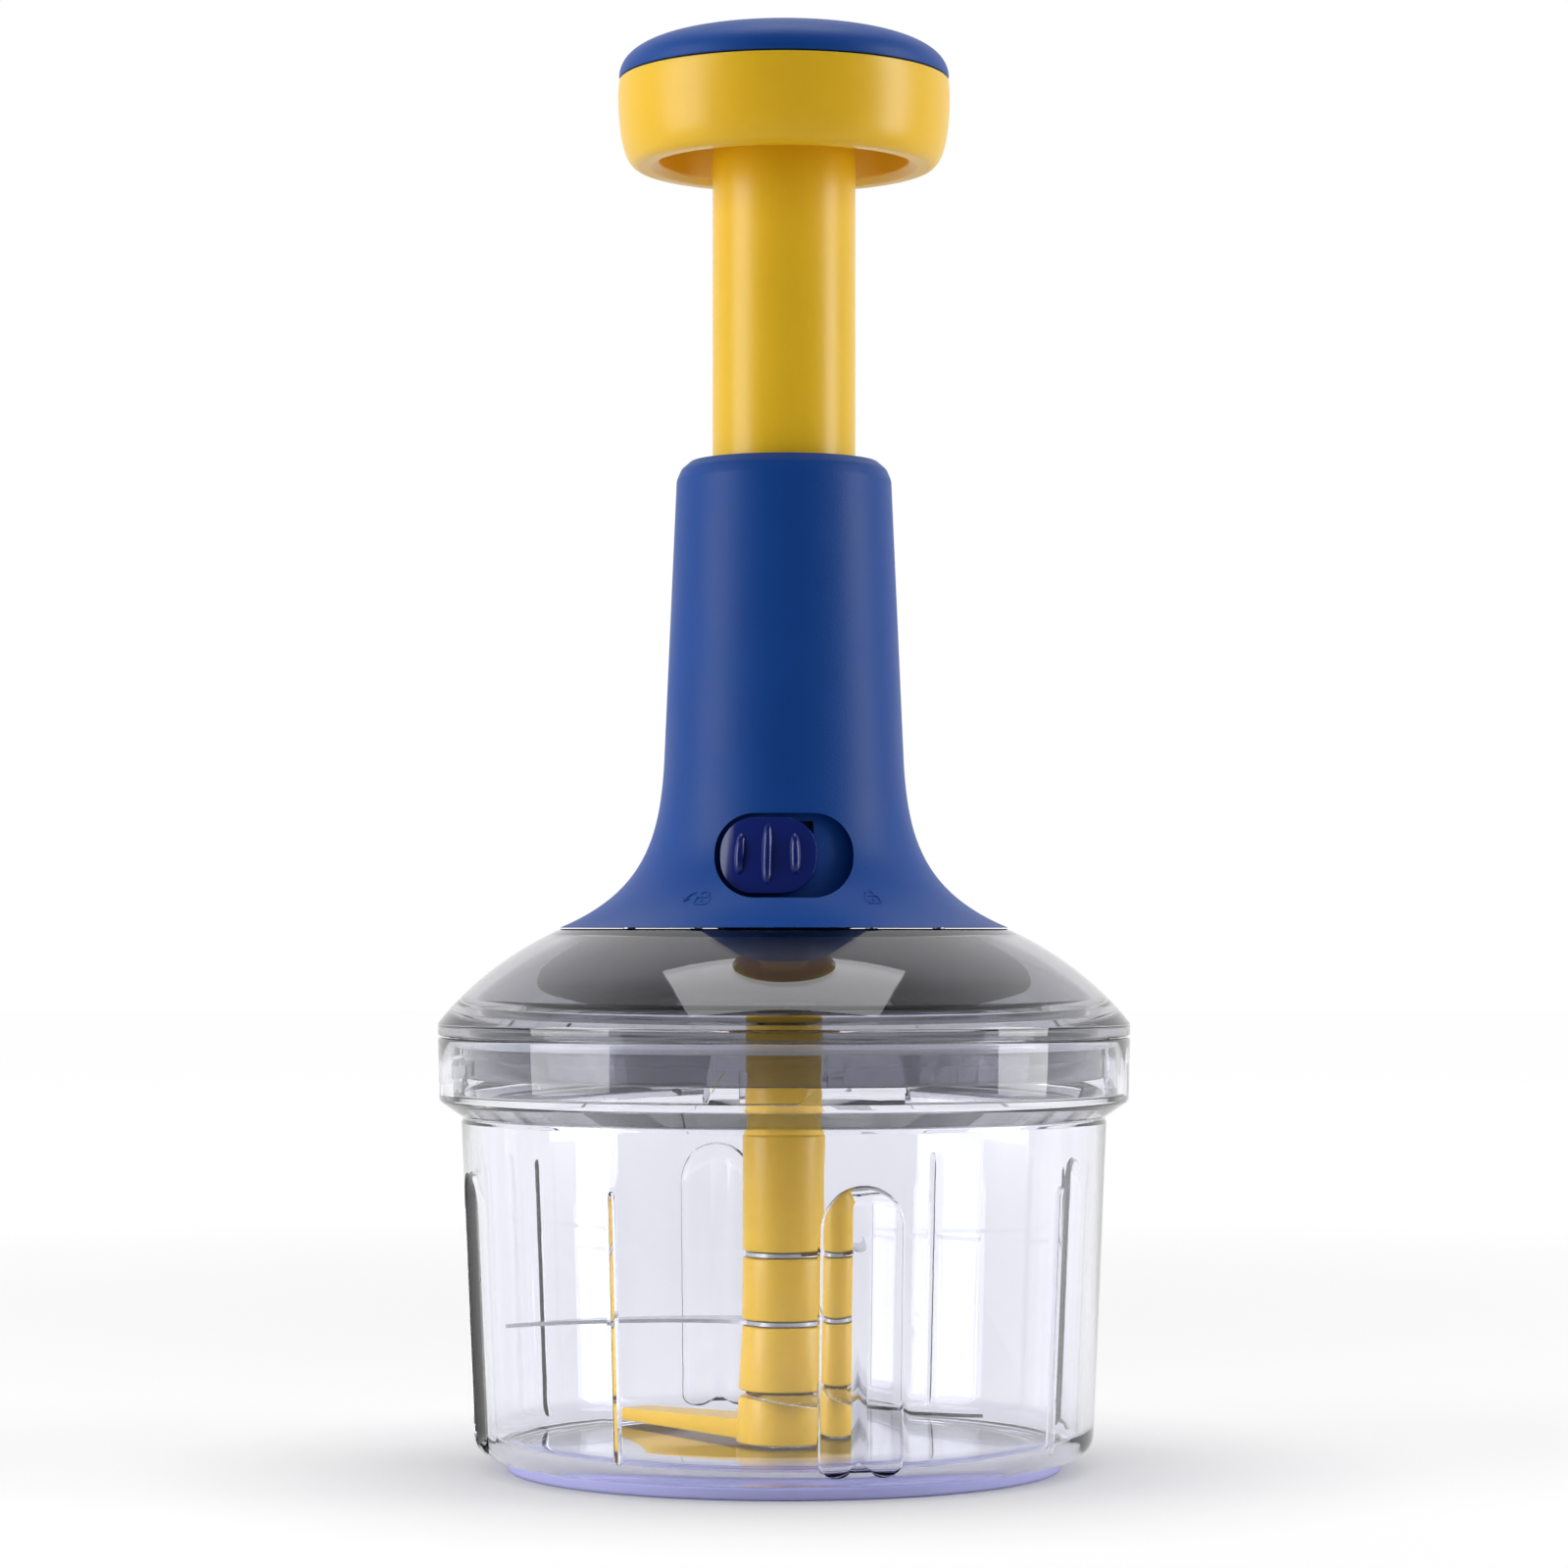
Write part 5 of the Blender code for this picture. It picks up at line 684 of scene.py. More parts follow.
class CHOPPER_OT_foot(bpy.types.Operator):
    """Tinted foot ring and the steel pin under the blades"""

    bl_idname = "chopper.foot"
    bl_label = "Foot ring and pin"

    def execute(self, context):
        size = sizes(context).bowl
        outer, top = radius_of("foot_ring"), top_of("foot_ring")
        corners = [
            (0.0573, top, 0.0002),
            (outer, top, 0.0005),
            (outer, 0, 0.0008),
            (outer - 0.008, 0, 0.0008),
            (outer - 0.008, top, 0.0005),
            (0.0547, top, 0.0002),
            (0.0547, 0.001, 0.0002),
            (0.0573, 0.001, 0.0002),
        ]
        tint = get_finish("lilac_rubber", clear_plastic, size.foot_tint, 0.05, transmission=0.9)
        fitted(spun("foot_ring_tinted", rounded(corners, 4), 192), tint, "base", "lilac_rubber", "foot_ring")
        flange_top = foot_of("centre_pin") + 0.001
        corners = [
            (0, top_of("centre_pin"), 0),
            (0.0025, top_of("centre_pin"), 0.0008),
            (0.0025, flange_top, 0),
            (0.0045, flange_top, 0.0002),
            (0.0045, foot_of("centre_pin"), 0.0002),
            (0, foot_of("centre_pin"), 0),
        ]
        pin = spun("centre_pin_turned", rounded(corners, 4, closed=False), 64, closed=False)
        fitted(pin, steel_finish(context), "base", "steel", "centre_pin")
        return {"FINISHED"}


# Lid


def dome_arc(size, base, deck):
    """Centre and radius of the dome's outer outline."""
    start = (size.shoulder_radius, base + size.shoulder_rise)
    end = (sizes(bpy.context).handle.foot, deck)
    across, rise = start[0] - end[0], end[1] - start[1]
    chord = hypot(across, rise)
    radius = chord * chord / (8 * size.sagitta) + size.sagitta / 2
    back = radius - size.sagitta
    middle = ((start[0] + end[0]) / 2, (start[1] + end[1]) / 2)
    return (middle[0] - back * rise / chord, middle[1] - back * across / chord), radius


def dome_outline(size, base, deck, inset, outer, inner, count):
    centre, radius = dome_arc(size, base, deck)
    points = []
    for i in range(count + 1):
        r = inner + (outer - inner) * i / count
        points.append((r, centre[1] + ((radius - inset) ** 2 - (r - centre[0]) ** 2) ** 0.5))
    return points


class CHOPPER_OT_lid(bpy.types.Operator):
    """Smoky dome with its skirt, lugs and screw holes, and the soft seal under it"""

    bl_idname = "chopper.lid"
    bl_label = "Lid"

    def execute(self, context):
        size = sizes(context).lid
        foot = sizes(context).handle.foot
        base, deck = top_of("bowl") + 0.0003, top_of("lid_dome")
        skirt_foot = foot_of("lid_dome")
        bore = size.skirt - size.skirt_wall
        bead = foot_of("splash_plate") - 0.0003
        rim = radius_of("lid_dome")
        edge = rounded(
            [
                (size.shoulder_radius, base + size.shoulder_rise, 0),
                (rim, base + 0.0027, 0.0009),
                (rim, base, 0.0005),
                (size.skirt, base, 0.0003),
                (size.skirt, skirt_foot, 0.0004),
                (bore, skirt_foot, 0.0004),
                (bore, bead - 0.0023, 0.0003),
                (bore - 0.0015, bead - 0.0008, 0.0003),
                (bore - 0.0015, bead, 0.0003),
                (bore, bead, 0),
            ],
            4,
            closed=False,
        )
        over = dome_outline(size, base, deck, 0, size.shoulder_radius, foot, 20)
        profile = [(0.0143, deck)] + over + edge[1:]
        under = dome_outline(size, base, deck, size.wall, bore, foot, 16)[::-1]
        profile += [p for p in under if p[1] < deck - size.wall - 0.0001]
        profile += [(foot - size.wall, deck - size.wall), (0.0143, deck - size.wall)]
        lid = spun("lid_smoky", profile, 192)
        lugs = []
        for k in range(4):
            start = radians(7) + k * pi / 2
            low, high = skirt_foot + 0.0003, skirt_foot + 0.0029
            lugs.append(swept_block("lug", section(0.0697, 0.0721, low, high), start, start + radians(12.5)))
        carve(lid, lugs, "UNION")
        holes = []
        for circle in (SLEEVE_SCREW_CIRCLE, HOUSING_SCREW_CIRCLE):
            for spot in screw_spots(circle):
                holes.append(pillar("hole", SCREW_HOLE, deck - 0.004, deck + 0.001, 24, spot))
        carve(lid, holes)
        smoke = get_finish("smoky_moulded", clear_plastic, size.smoke, 0.012)
        fitted(lid, smoke, "lid", "smoky_plastic", "lid_dome")
        seal = rounded(
            [
                (0.0707, base - 0.0006, 0.0002),
                (0.0719, base - 0.0006, 0.0002),
                (0.0722, base - 0.0016, 0.0002),
                (0.0719, base - 0.0026, 0.0002),
                (0.0707, base - 0.0026, 0.0002),
            ],
            3,
        )
        rubber = get_finish("seal_soft", clear_plastic, (0.86, 0.87, 0.90), 0.12, transmission=0.8)
        fitted(spun("lid_seal_soft", seal, 160), rubber, "seal", "seal_rubber", "lid_seal")
        return {"FINISHED"}


class CHOPPER_OT_lid_inside(bpy.types.Operator):
    """Splash plate and frosted cover that show through the dome"""

    bl_idname = "chopper.lid_inside"
    bl_label = "Inside the lid"

    def execute(self, context):
        size = sizes(context).lid
        low, high = foot_of("splash_plate"), top_of("splash_plate")
        edge = radius_of("splash_plate")
        plate = rounded(
            [(0.0081, high, 0.0003), (edge, high, 0.0008), (edge, low, 0.0002), (0.0081, low, 0.0003)], 4
        )
        clear = get_finish("splash_clear", clear_plastic, (0.84, 0.83, 0.80), 0.03)
        fitted(spun("splash_plate_clear", plate, 192), clear, "lid", "smoky_plastic", "splash_plate")

        floor, rim = foot_of("mechanism_cover"), top_of("mechanism_cover")
        waist = floor + 0.0041
        wide, wall = size.pan_radius, 0.0012
        outer = swept((0.0442, rim), (wide, waist), ((0.46, 0.24), (1.0, 0.60)), 12)
        flat = wide - 0.0116
        corner = ((wide, waist), (wide, floor + 0.0014), (wide - 0.0046, floor + 0.0004), (flat, floor))
        outer += bezier(*corner, 12)[1:]
        outer += [(0.0079, floor)]
        inner = [(0.0079, floor + wall)]
        inner += swept((flat, floor + wall), (wide - wall, waist), ((0.6, 0.1), (1.0, 0.6)), 10)
        inner += swept((wide - wall, waist), (0.0442 - wall, rim), ((0.0, 0.4), (0.54, 0.76)), 10)[1:]
        frost = get_finish("frosted_moulded", clear_plastic, size.frost, 0.42, 1400, 0.00008, 0.4)
        cover = spun("mechanism_cover_frosted", outer + inner, 160)
        fitted(cover, frost, "lid", "frosted_plastic", "mechanism_cover")
        return {"FINISHED"}


# Handle


def housing_outline(size, base, top, count=24):
    """The handle's outer outline from its crown down to its foot."""
    crown = rounded(
        [
            (0.0159, top, 0),
            (size.head - 0.0031, top, 0.0008),
            (size.head - 0.0010, top - 0.0018, 0.0022),
            (size.head, top - 0.0042, 0.0025),
            (size.neck, base + size.flare, 0),
        ],
        5,
        closed=False,
    )
    flare = swept((size.neck, base + size.flare), (size.foot, base), ((0.04, 0.47), (0.20, 0.79)), count)
    return crown[:-1] + flare


def recess_radius(base, height, z):
    """Radius of the sloping floor of a recess so tall."""
    return RECESS_RADIUS + (base + RECESS_FOOT + height - z) * RECESS_SLOPE


def recess_cone(base, offset, low, high):
    """A solid cone up to the recess's sloping floor, set out by an offset."""
    radius = [recess_radius(base, RECESS_HEIGHT, z) + offset for z in (high, low)]
    return spun("cone", [(0, high), (radius[0], high), (radius[1], low), (0, low)], 192, closed=False)


def front_bar(width, height, rounding, middle, turn=0.0):
    """A rounded bar that points out of the front of the handle."""
    outline = stadium(width, height, rounding, 14)
    loops = [[(x, -y, middle + z) for x, z in outline] for y in (0.012, 0.060)]
    return layered("bar", loops, spin_z(turn))


class CHOPPER_OT_housing(bpy.types.Operator):
    """Blue grained handle with the recess for its lock"""

    bl_idname = "chopper.housing"
    bl_label = "Handle"

    def execute(self, context):
        size = sizes(context).handle
        base, top = foot_of("housing"), top_of("housing")
        outside = housing_outline(size, base, top)
        crown = top - 0.004
        neck = (size.neck - size.wall, base + size.flare)
        inside = swept((size.foot - 0.0044, base), neck, ((0.80, 0.21), (0.96, 0.53)), 16)
        inside += [
            (size.head - size.wall, crown - 0.0077),
            (0.0189, crown - 0.0057),
            (0.0189, crown),
            (0.0159, crown),
        ]
        housing = spun("housing_blue", outside + inside, 192)
        low, high = base + 0.0037, base + 0.0267
        floor = [recess_radius(base, size.window_height, z) - 0.0019 for z in (high, low)]
        tub_section = [(floor[0], high), (floor[1], low), (0.048, low), (0.048, high)]
        tub = swept_block("tub", tub_section, radians(-36), radians(36))
        core = [(0, top - 0.0005)] + [(r - 0.0005, z) for r, z in housing_outline(size, base, top - 0.0005)]
        carve(tub, [spun("core", core + [(0, base)], 192, closed=False)], "INTERSECT")
        bosses = []
        for spot in screw_spots(HOUSING_SCREW_CIRCLE):
            boss = pillar("boss", 0.0032, base, base + 0.0070, 32, spot)
            boss_core = spun("core", core + [(0, base)], 96, closed=False)
            bosses.append(carve(boss, [boss_core], "INTERSECT"))
        carve(housing, [tub, *bosses], "UNION")
        middle = base + RECESS_FOOT + size.window_height / 2
        window = front_bar(size.window_width, size.window_height, 0.0085, middle)
        carve(window, [recess_cone(base, 0, low - 0.005, high + 0.005)])
        slot_z = foot_of("lock_carrier") + 0.0045
        slot = section(0.021, 0.0305, slot_z - 0.0024, slot_z + 0.0024)
        tools = [window, swept_block("slot", slot, radians(-14), radians(14))]
        for spot in screw_spots(HOUSING_SCREW_CIRCLE):
            tools.append(pillar("hole", SCREW_HOLE, base - 0.001, base + 0.0048, 24, spot))
        carve(housing, tools)
        fitted(housing, blue_finish(context), "lid", "blue_plastic", "housing")
        return {"FINISHED"}


class CHOPPER_OT_lock(bpy.types.Operator):
    """Glossy lock button with its three grip ribs"""

    bl_idname = "chopper.lock"
    bl_label = "Lock button"

    def execute(self, context):
        size = sizes(context).handle
        base = foot_of("housing")
        middle = base + RECESS_FOOT + size.window_height / 2
        button = front_bar(size.button_width, size.window_height - 0.002, 0.0072, middle, LOCK_TURN)
        low, high = middle - 0.012, middle + 0.012
        carve(button, [recess_cone(base, 0.0040, low, high)], "INTERSECT")
        soften(button, 0.0009, 4)
        ribs = []
        for across, tall in ((-0.0056, 0.0094), (0.0, 0.0142), (0.0056, 0.0094)):
            work = bmesh.new()
            bmesh.ops.create_uvsphere(work, u_segments=32, v_segments=24, radius=1)
            bmesh.ops.scale(work, verts=work.verts, vec=(0.0015, 0.0028, tall / 2 + 0.0005))
            face = RECESS_RADIUS + size.window_height / 2 * RECESS_SLOPE + 0.0026
            bmesh.ops.rotate(work, verts=work.verts, matrix=Matrix.Rotation(-RECESS_SLOPE, 3, "X"))
            bmesh.ops.translate(work, verts=work.verts, vec=(0, -face, middle))
            bmesh.ops.rotate(work, verts=work.verts, matrix=Matrix.Rotation(LOCK_TURN + across / face, 3, "Z"))
            ribs.append(finish_mesh("rib", work))
        carve(button, ribs, "UNION")
        stem = foot_of("lock_carrier") + 0.0045
        near, far = (0.020, -0.0028, stem - 0.0023), (0.0287, 0.0028, stem + 0.0023)
        pocket = box_piece("pocket", near, far, FRONT + LOCK_TURN)
        carve(button, [recess_cone(base, 0.0004, low, high), pocket])
        button.name = "lock_button"
        navy = get_finish("navy_gloss", moulded_plastic, size.navy, 0.14, 900, 0.000004)
        fitted(button, navy, "lock", "navy_plastic", "lock_slider")
        return {"FINISHED"}


def on_handle(size, azimuth, height, u, v):
    """A point on the handle's flare, u to the right and v up from a spot."""
    base = foot_of("housing")
    outline = housing_outline(size, base, top_of("housing"), 48)
    above = max((p for p in outline if p[1] <= height), key=lambda p: p[1])
    below = min((p for p in outline if p[1] > height), key=lambda p: p[1])
    slope = atan2(above[0] - below[0], below[1] - above[1])
    z = height + v * cos(slope)
    share = (z - above[1]) / (below[1] - above[1])
    radius = above[0] + (below[0] - above[0]) * share
    return polar(radius, FRONT + azimuth + u / radius, z)


class CHOPPER_OT_signs(bpy.types.Operator):
    """Raised signs beside the lock: an open padlock with an arrow, and a closed padlock"""

    bl_idname = "chopper.signs"
    bl_label = "Lock signs"

    def execute(self, context):
        body = rounded([(1.6, 0.7, 0.7), (-1.6, 0.7, 0.7), (-1.6, -1.9, 0.7), (1.6, -1.9, 0.7)], 5)
        keyhole = [(0.0, -0.3), (0.0, -0.9)]
        shut = [(0.95, 0.7)] + arc((0, 1.2), 0.95, 0, pi, 10) + [(-0.95, 0.7)]
        ajar = [(0.95, 0.7)] + arc((0, 1.5), 0.95, 0, 0.95 * pi, 10)
        arrow = arc((-1.2, -0.6), 3.0, 0.62 * pi, 1.02 * pi, 10)
        head = [(-4.95, 0.35), (-4.2, -0.7), (-3.3, 0.2)]
        self.raise_sign(context, "sign_locked", 29.2, 123.3, [(body, True), (keyhole, False), (shut, False)])
        lines = [(body, True), (keyhole, False), (ajar, False), (arrow, False), (head, False)]
        self.raise_sign(context, "sign_unlocked", -26.5, 123.0, lines)
        return {"FINISHED"}

    def raise_sign(self, context, name, azimuth, height, lines):
        size = sizes(context).handle
        paths = [
            ([on_handle(size, radians(azimuth), height * MM, u * MM, v * MM) for u, v in line], closed)
            for line, closed in lines
        ]
        fitted(wires(name, paths, 0.00026, 2), blue_finish(context), "lid", "blue_plastic")


# Plunger and knob


class CHOPPER_OT_plunger(bpy.types.Operator):
    """Yellow tube with its ears and the slot for the lock"""

    bl_idname = "chopper.plunger"
    bl_label = "Plunger tube"

    def execute(self, context):
        outer, inner = sizes(context).handle.tube, sizes(context).handle.tube - 0.0022
        low, high = foot_of("plunger_tube"), top_of("plunger_tube")
        web = high - 0.0025
        corners = [
            (0.0019, high, 0),
            (outer, high, 0.0004),
            (outer, low, 0.0003),
            (inner, low, 0.0003),
            (inner, web, 0.0006),
            (0.0040, web, 0.0006),
            (0.0040, web - 0.0065, 0.0003),
            (0.0019, web - 0.0065, 0),
        ]
        tube = spun("plunger_tube_yellow", rounded(corners, 4), 128)
        near, far = (outer - 0.0006, -0.002, low), (outer + 0.0015, 0.002, low + 0.01)
        ears = [box_piece("ear", near, far, side) for side in (0, pi)]
        carve(tube, ears, "UNION")
        bores = []
        for side in (0, pi):
            ring = arc((0, low + 0.0048), 0.0013, 0, 2 * pi, 24)[:-1]
            loops = [[(x, y, z) for y, z in ring] for x in (0.010, 0.019)]
            bores.append(layered("bore", loops, spin_z(side)))
        half = 0.00165 / inner
        tongue = low - 0.0548 + 0.062
        leg = section(inner - 0.001, outer + 0.001, low - 0.001, tongue + 0.0028)
        arm = section(inner - 0.001, outer + 0.001, tongue - 0.0004, tongue + 0.0028)
        tools = [
            swept_block("leg", leg, LOCK_TURN - half, LOCK_TURN + half, 4),
            swept_block("arm", arm, LOCK_TURN, LOCK_TURN + LOCK_TRAVEL + half, 6),
        ]
        carve(tube, bores + tools)
        fitted(tube, yellow_finish(context), "plunger", "yellow_plastic", "plunger_tube")
        return {"FINISHED"}


class CHOPPER_OT_knob(bpy.types.Operator):
    """Yellow knob with its finger recess, and its blue cap"""

    bl_idname = "chopper.knob"
    bl_label = "Knob"

    def execute(self, context):
        size = sizes(context).handle
        low, split = foot_of("knob_body"), top_of("knob_body")
        seat = split - 0.0021
        tube_top = top_of("plunger_tube") + 0.0003
        socket = size.tube + 0.0003
        belt = split - 0.0029
        side = swept((size.knob, belt), (0.0316, low), ((0.0, 0.49), (0.23, 0.96)), 24)
        rim = rounded(
            [
                (side[-2][0], side[-2][1], 0),
                (0.0316, low, 0.0004),
                (0.0289, low, 0.0012),
                (0.0270, low + 0.0012, 0.0008),
                (0.0266, low + 0.0090, 0.0016),
                (socket + 0.0016, low + 0.0090, 0.0010),
                (socket + 0.0016, low + 0.0064, 0.0004),
                (socket, low + 0.0064, 0.0004),
                (socket, tube_top, 0),
                (0.0019, tube_top, 0),
                (0.0019, seat, 0),
                (0.0332, seat, 0),
                (0.0332, split, 0.0001),
                (size.knob - 0.0002, split, 0.0003),
                (size.knob, belt, 0),
            ],
            5,
            closed=False,
        )
        body = spun("knob_yellow", side[:-2] + rim[:-1], 192)
        fitted(body, yellow_finish(context), "plunger", "yellow_plastic", "knob_body")

        base, top = split + 0.0003, top_of("knob_cap")
        edge, plug, inner = size.knob - 0.0002, 0.0329, 0.0309
        plug_foot = foot_of("knob_cap")
        crown = swept((0, top), (edge, base + 0.0006), ((0.61, 0.0), (0.99, 0.21)), 40)
        under = swept((0, top - 0.0022), (inner, base + 0.0022), ((0.61, 0.0), (0.99, 0.21)), 20)[::-1]
        profile = crown[:-1] + [(edge, base + 0.0007), (edge - 0.0002, base + 0.0001), (edge - 0.0005, base)]
        profile += [(plug, base), (plug, plug_foot), (inner, plug_foot)] + under
        cap = spun("knob_cap_blue", profile, 192, closed=False)
        fitted(cap, blue_finish(context), "plunger", "blue_plastic", "knob_cap")
        return {"FINISHED"}


# Blade column


def hex_bar(low, high):
    """The six-sided tool that makes room for the column's core."""
    return prism("hex", [polar(0.0060, k * pi / 3) for k in range(6)], low, high)


def column_piece(name, node, corners):
    """A turned segment of the yellow column, and the tool that bores it."""
    piece = spun(name, rounded(corners, 4, closed=False), 96, closed=False)
    low, high = foot_of(node), top_of(node)
    return piece, hex_bar(low - 0.001, high + 0.001)


def plain_corners(node, low_radius, high_radius, rounding=0.0005):
    low, high = foot_of(node), top_of(node)
    return [(0, high), (high_radius, high, rounding), (low_radius, low, rounding), (0, low)]


class CHOPPER_OT_column(bpy.types.Operator):
    """Yellow column of paddle hub, spacers and drive spindle"""

    bl_idname = "chopper.column"
    bl_label = "Blade column"

    def execute(self, context):
        yellow = yellow_finish(context)
        spacers = (("spacer_lower", 0.0099, 0.0091), ("spacer_upper", 0.0091, 0.0090))
        for node, low_radius, high_radius in spacers:
            corners = plain_corners(node, low_radius, high_radius)
            piece, bore = column_piece(f"{node}_yellow", node, corners)
            fitted(carve(piece, [bore]), yellow, "blades", "yellow_plastic", node)

        low, high = foot_of("spindle_top"), top_of("spindle_top")
        shoulder = low + 0.0244
        corners = [
            (0, high),
            (0.00835, high, 0.0004),
            (0.00835, shoulder + 0.0009, 0.0006),
            (0.0090, shoulder, 0.0006),
            (0.0090, low, 0.0005),
            (0, low),
        ]
        spindle = spun("spindle_yellow", rounded(corners, 4, closed=False), 96, closed=False)
        core_top = low + 0.0158
        web_top = core_top + 0.0025
        socket = high - 0.0121
        tools = [
            hex_bar(low - 0.001, core_top + 0.0003),
            pillar("hole", SCREW_HOLE, core_top - 0.001, web_top + 0.001, 24),
            pillar("well", 0.0034, web_top, socket + 0.001, 48),
            pillar("socket", 0.0055, socket, high + 0.001, 64),
        ]
        for k in range(3):
            start = FRONT + k * 2 * pi / 3 + 0.22
            wedge = [polar(0.0045, start + i * (2 * pi / 3 - 0.44) / 8) for i in range(9)]
            wedge += [polar(0.0067, start + i * (2 * pi / 3 - 0.44) / 8) for i in range(8, -1, -1)]
            tools.append(prism("wedge", wedge, socket + 0.0001, high + 0.0011))
        fitted(carve(spindle, tools), yellow, "blades", "yellow_plastic", "spindle_top")

        low, high = foot_of("paddle_hub"), top_of("paddle_hub")
        corners = plain_corners("paddle_hub", 0.0104, 0.0099)
        hub, bore = column_piece("paddle_hub_yellow", "paddle_hub", corners)
        fitted(self.paddle(hub, bore, low), yellow, "blades", "yellow_plastic", "paddle_hub")
        return {"FINISHED"}

    def paddle(self, hub, bore, low):
        """Joins the long flat arm on the hub, tapered and rounded at its tip."""
        base = low + 0.0006
        outline = rounded(
            [
                (0.0045, 0.0075, 0),
                (0.0045, -0.0075, 0),
                (0.0130, -0.0068, 0.004),
                (0.0530, -0.0040, 0.0018),
                (0.0530, 0.0040, 0.0018),
                (0.0130, 0.0068, 0.004),
            ],
            6,
        )
        loops = []
        for share, inset in ((0.0, 0.0003), (0.08, 0.0), (0.86, 0.0), (1.0, 0.0005)):
            ring = []
            for x, y in outline:
                height = 0.0042 - 0.0017 * (x - 0.0045) / 0.0485
                reach = max(0.001, hypot(x - 0.02, y))
                ring.append((x - inset * (x - 0.02) / reach, y - inset * y / reach, base + height * share))
            loops.append(ring)
        arm = layered("arm", loops, spin_z(radians(131)))
        carve(hub, [arm], "UNION")
        recess = pillar("recess", 0.0081, low - 0.001, low + 0.0019, 64)
        return carve(hub, [recess, bore])


class CHOPPER_OT_blades(bpy.types.Operator):
    """Three thin sickle blades, ground along their convex edge"""

    bl_idname = "chopper.blades"
    bl_label = "Blades"

    def execute(self, context):
        size = sizes(context).blades
        reach = size.blade
        shares = ((-0.066, -0.121), (0.23, -0.31), (0.73, -0.25), (1.0, 0.0))
        back = [(reach * x, reach * y) for x, y in shares]
        shares = ((0.137, 0.017), (0.30, -0.15), (0.69, -0.13), (1.0, 0.0))
        front = [(reach * x, reach * y) for x, y in shares]
        ground = [(x, y + size.grind) for x, y in back[:3]] + [back[3]]
        inner = bezier(*front, 32)[::-1]
        heel = arc((0, 0), hypot(*front[0]), pi / 24, 4 * pi / 3 - pi / 24, 28)
        steel = get_finish("blade_steel", ground_steel, size.steel, 0.2, (0.3, 1.0, 1.0))
        for node, turn in (("blade_bottom", -48), ("blade_middle", 188), ("blade_top", 72)):
            low = foot_of(node)
            loops = []
            for edge, z in ((back, low), (back, low + size.thickness * 0.25), (ground, low + size.thickness)):
                outline = bezier(*edge, 32) + inner[1:] + heel[1:-1]
                loops.append([(x, y, z) for x, y in outline])
            blade = layered(f"{node}_ground", loops, spin_z(radians(turn)))
            fitted(carve(blade, [hex_bar(low - 0.001, low + 0.002)]), steel, "blades", "steel", node)
        return {"FINISHED"}


# Drive


class CHOPPER_OT_drive(bpy.types.Operator):
    """Finishes of the drive train, and the return spring"""

    bl_idname = "chopper.drive"
    bl_label = "Drive and spring"

    def execute(self, context):
        size = sizes(context).blades
        low, high = foot_of("return_spring"), top_of("return_spring")
        points = []
        count = size.turns * 24
        for i in range(count + 1):
            height = low + size.wire + (high - low - 2 * size.wire) * i / count
            points.append(polar(size.spring, 2 * pi * i / 24, height))
        spring = wires("return_spring_wire", [(points, False)], size.wire)
        fitted(spring, steel_finish(context), "lid", "steel", "return_spring")
        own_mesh(spring)

        slots = {entry["node"]: entry["material_slot"] for entry in frame["record"]["subparts"]}
        by_slot = {
            "steel": steel_finish(context),
            "cream_plastic": cream_finish(),
            "blue_plastic": blue_finish(context),
        }
        for name, node in frame["nodes"].items():
            if node.hide_render or slots.get(name) not in by_slot:
                continue
            node.data.materials.clear()
            node.data.materials.append(by_slot[slots[name]])
        return {"FINISHED"}


# Studio


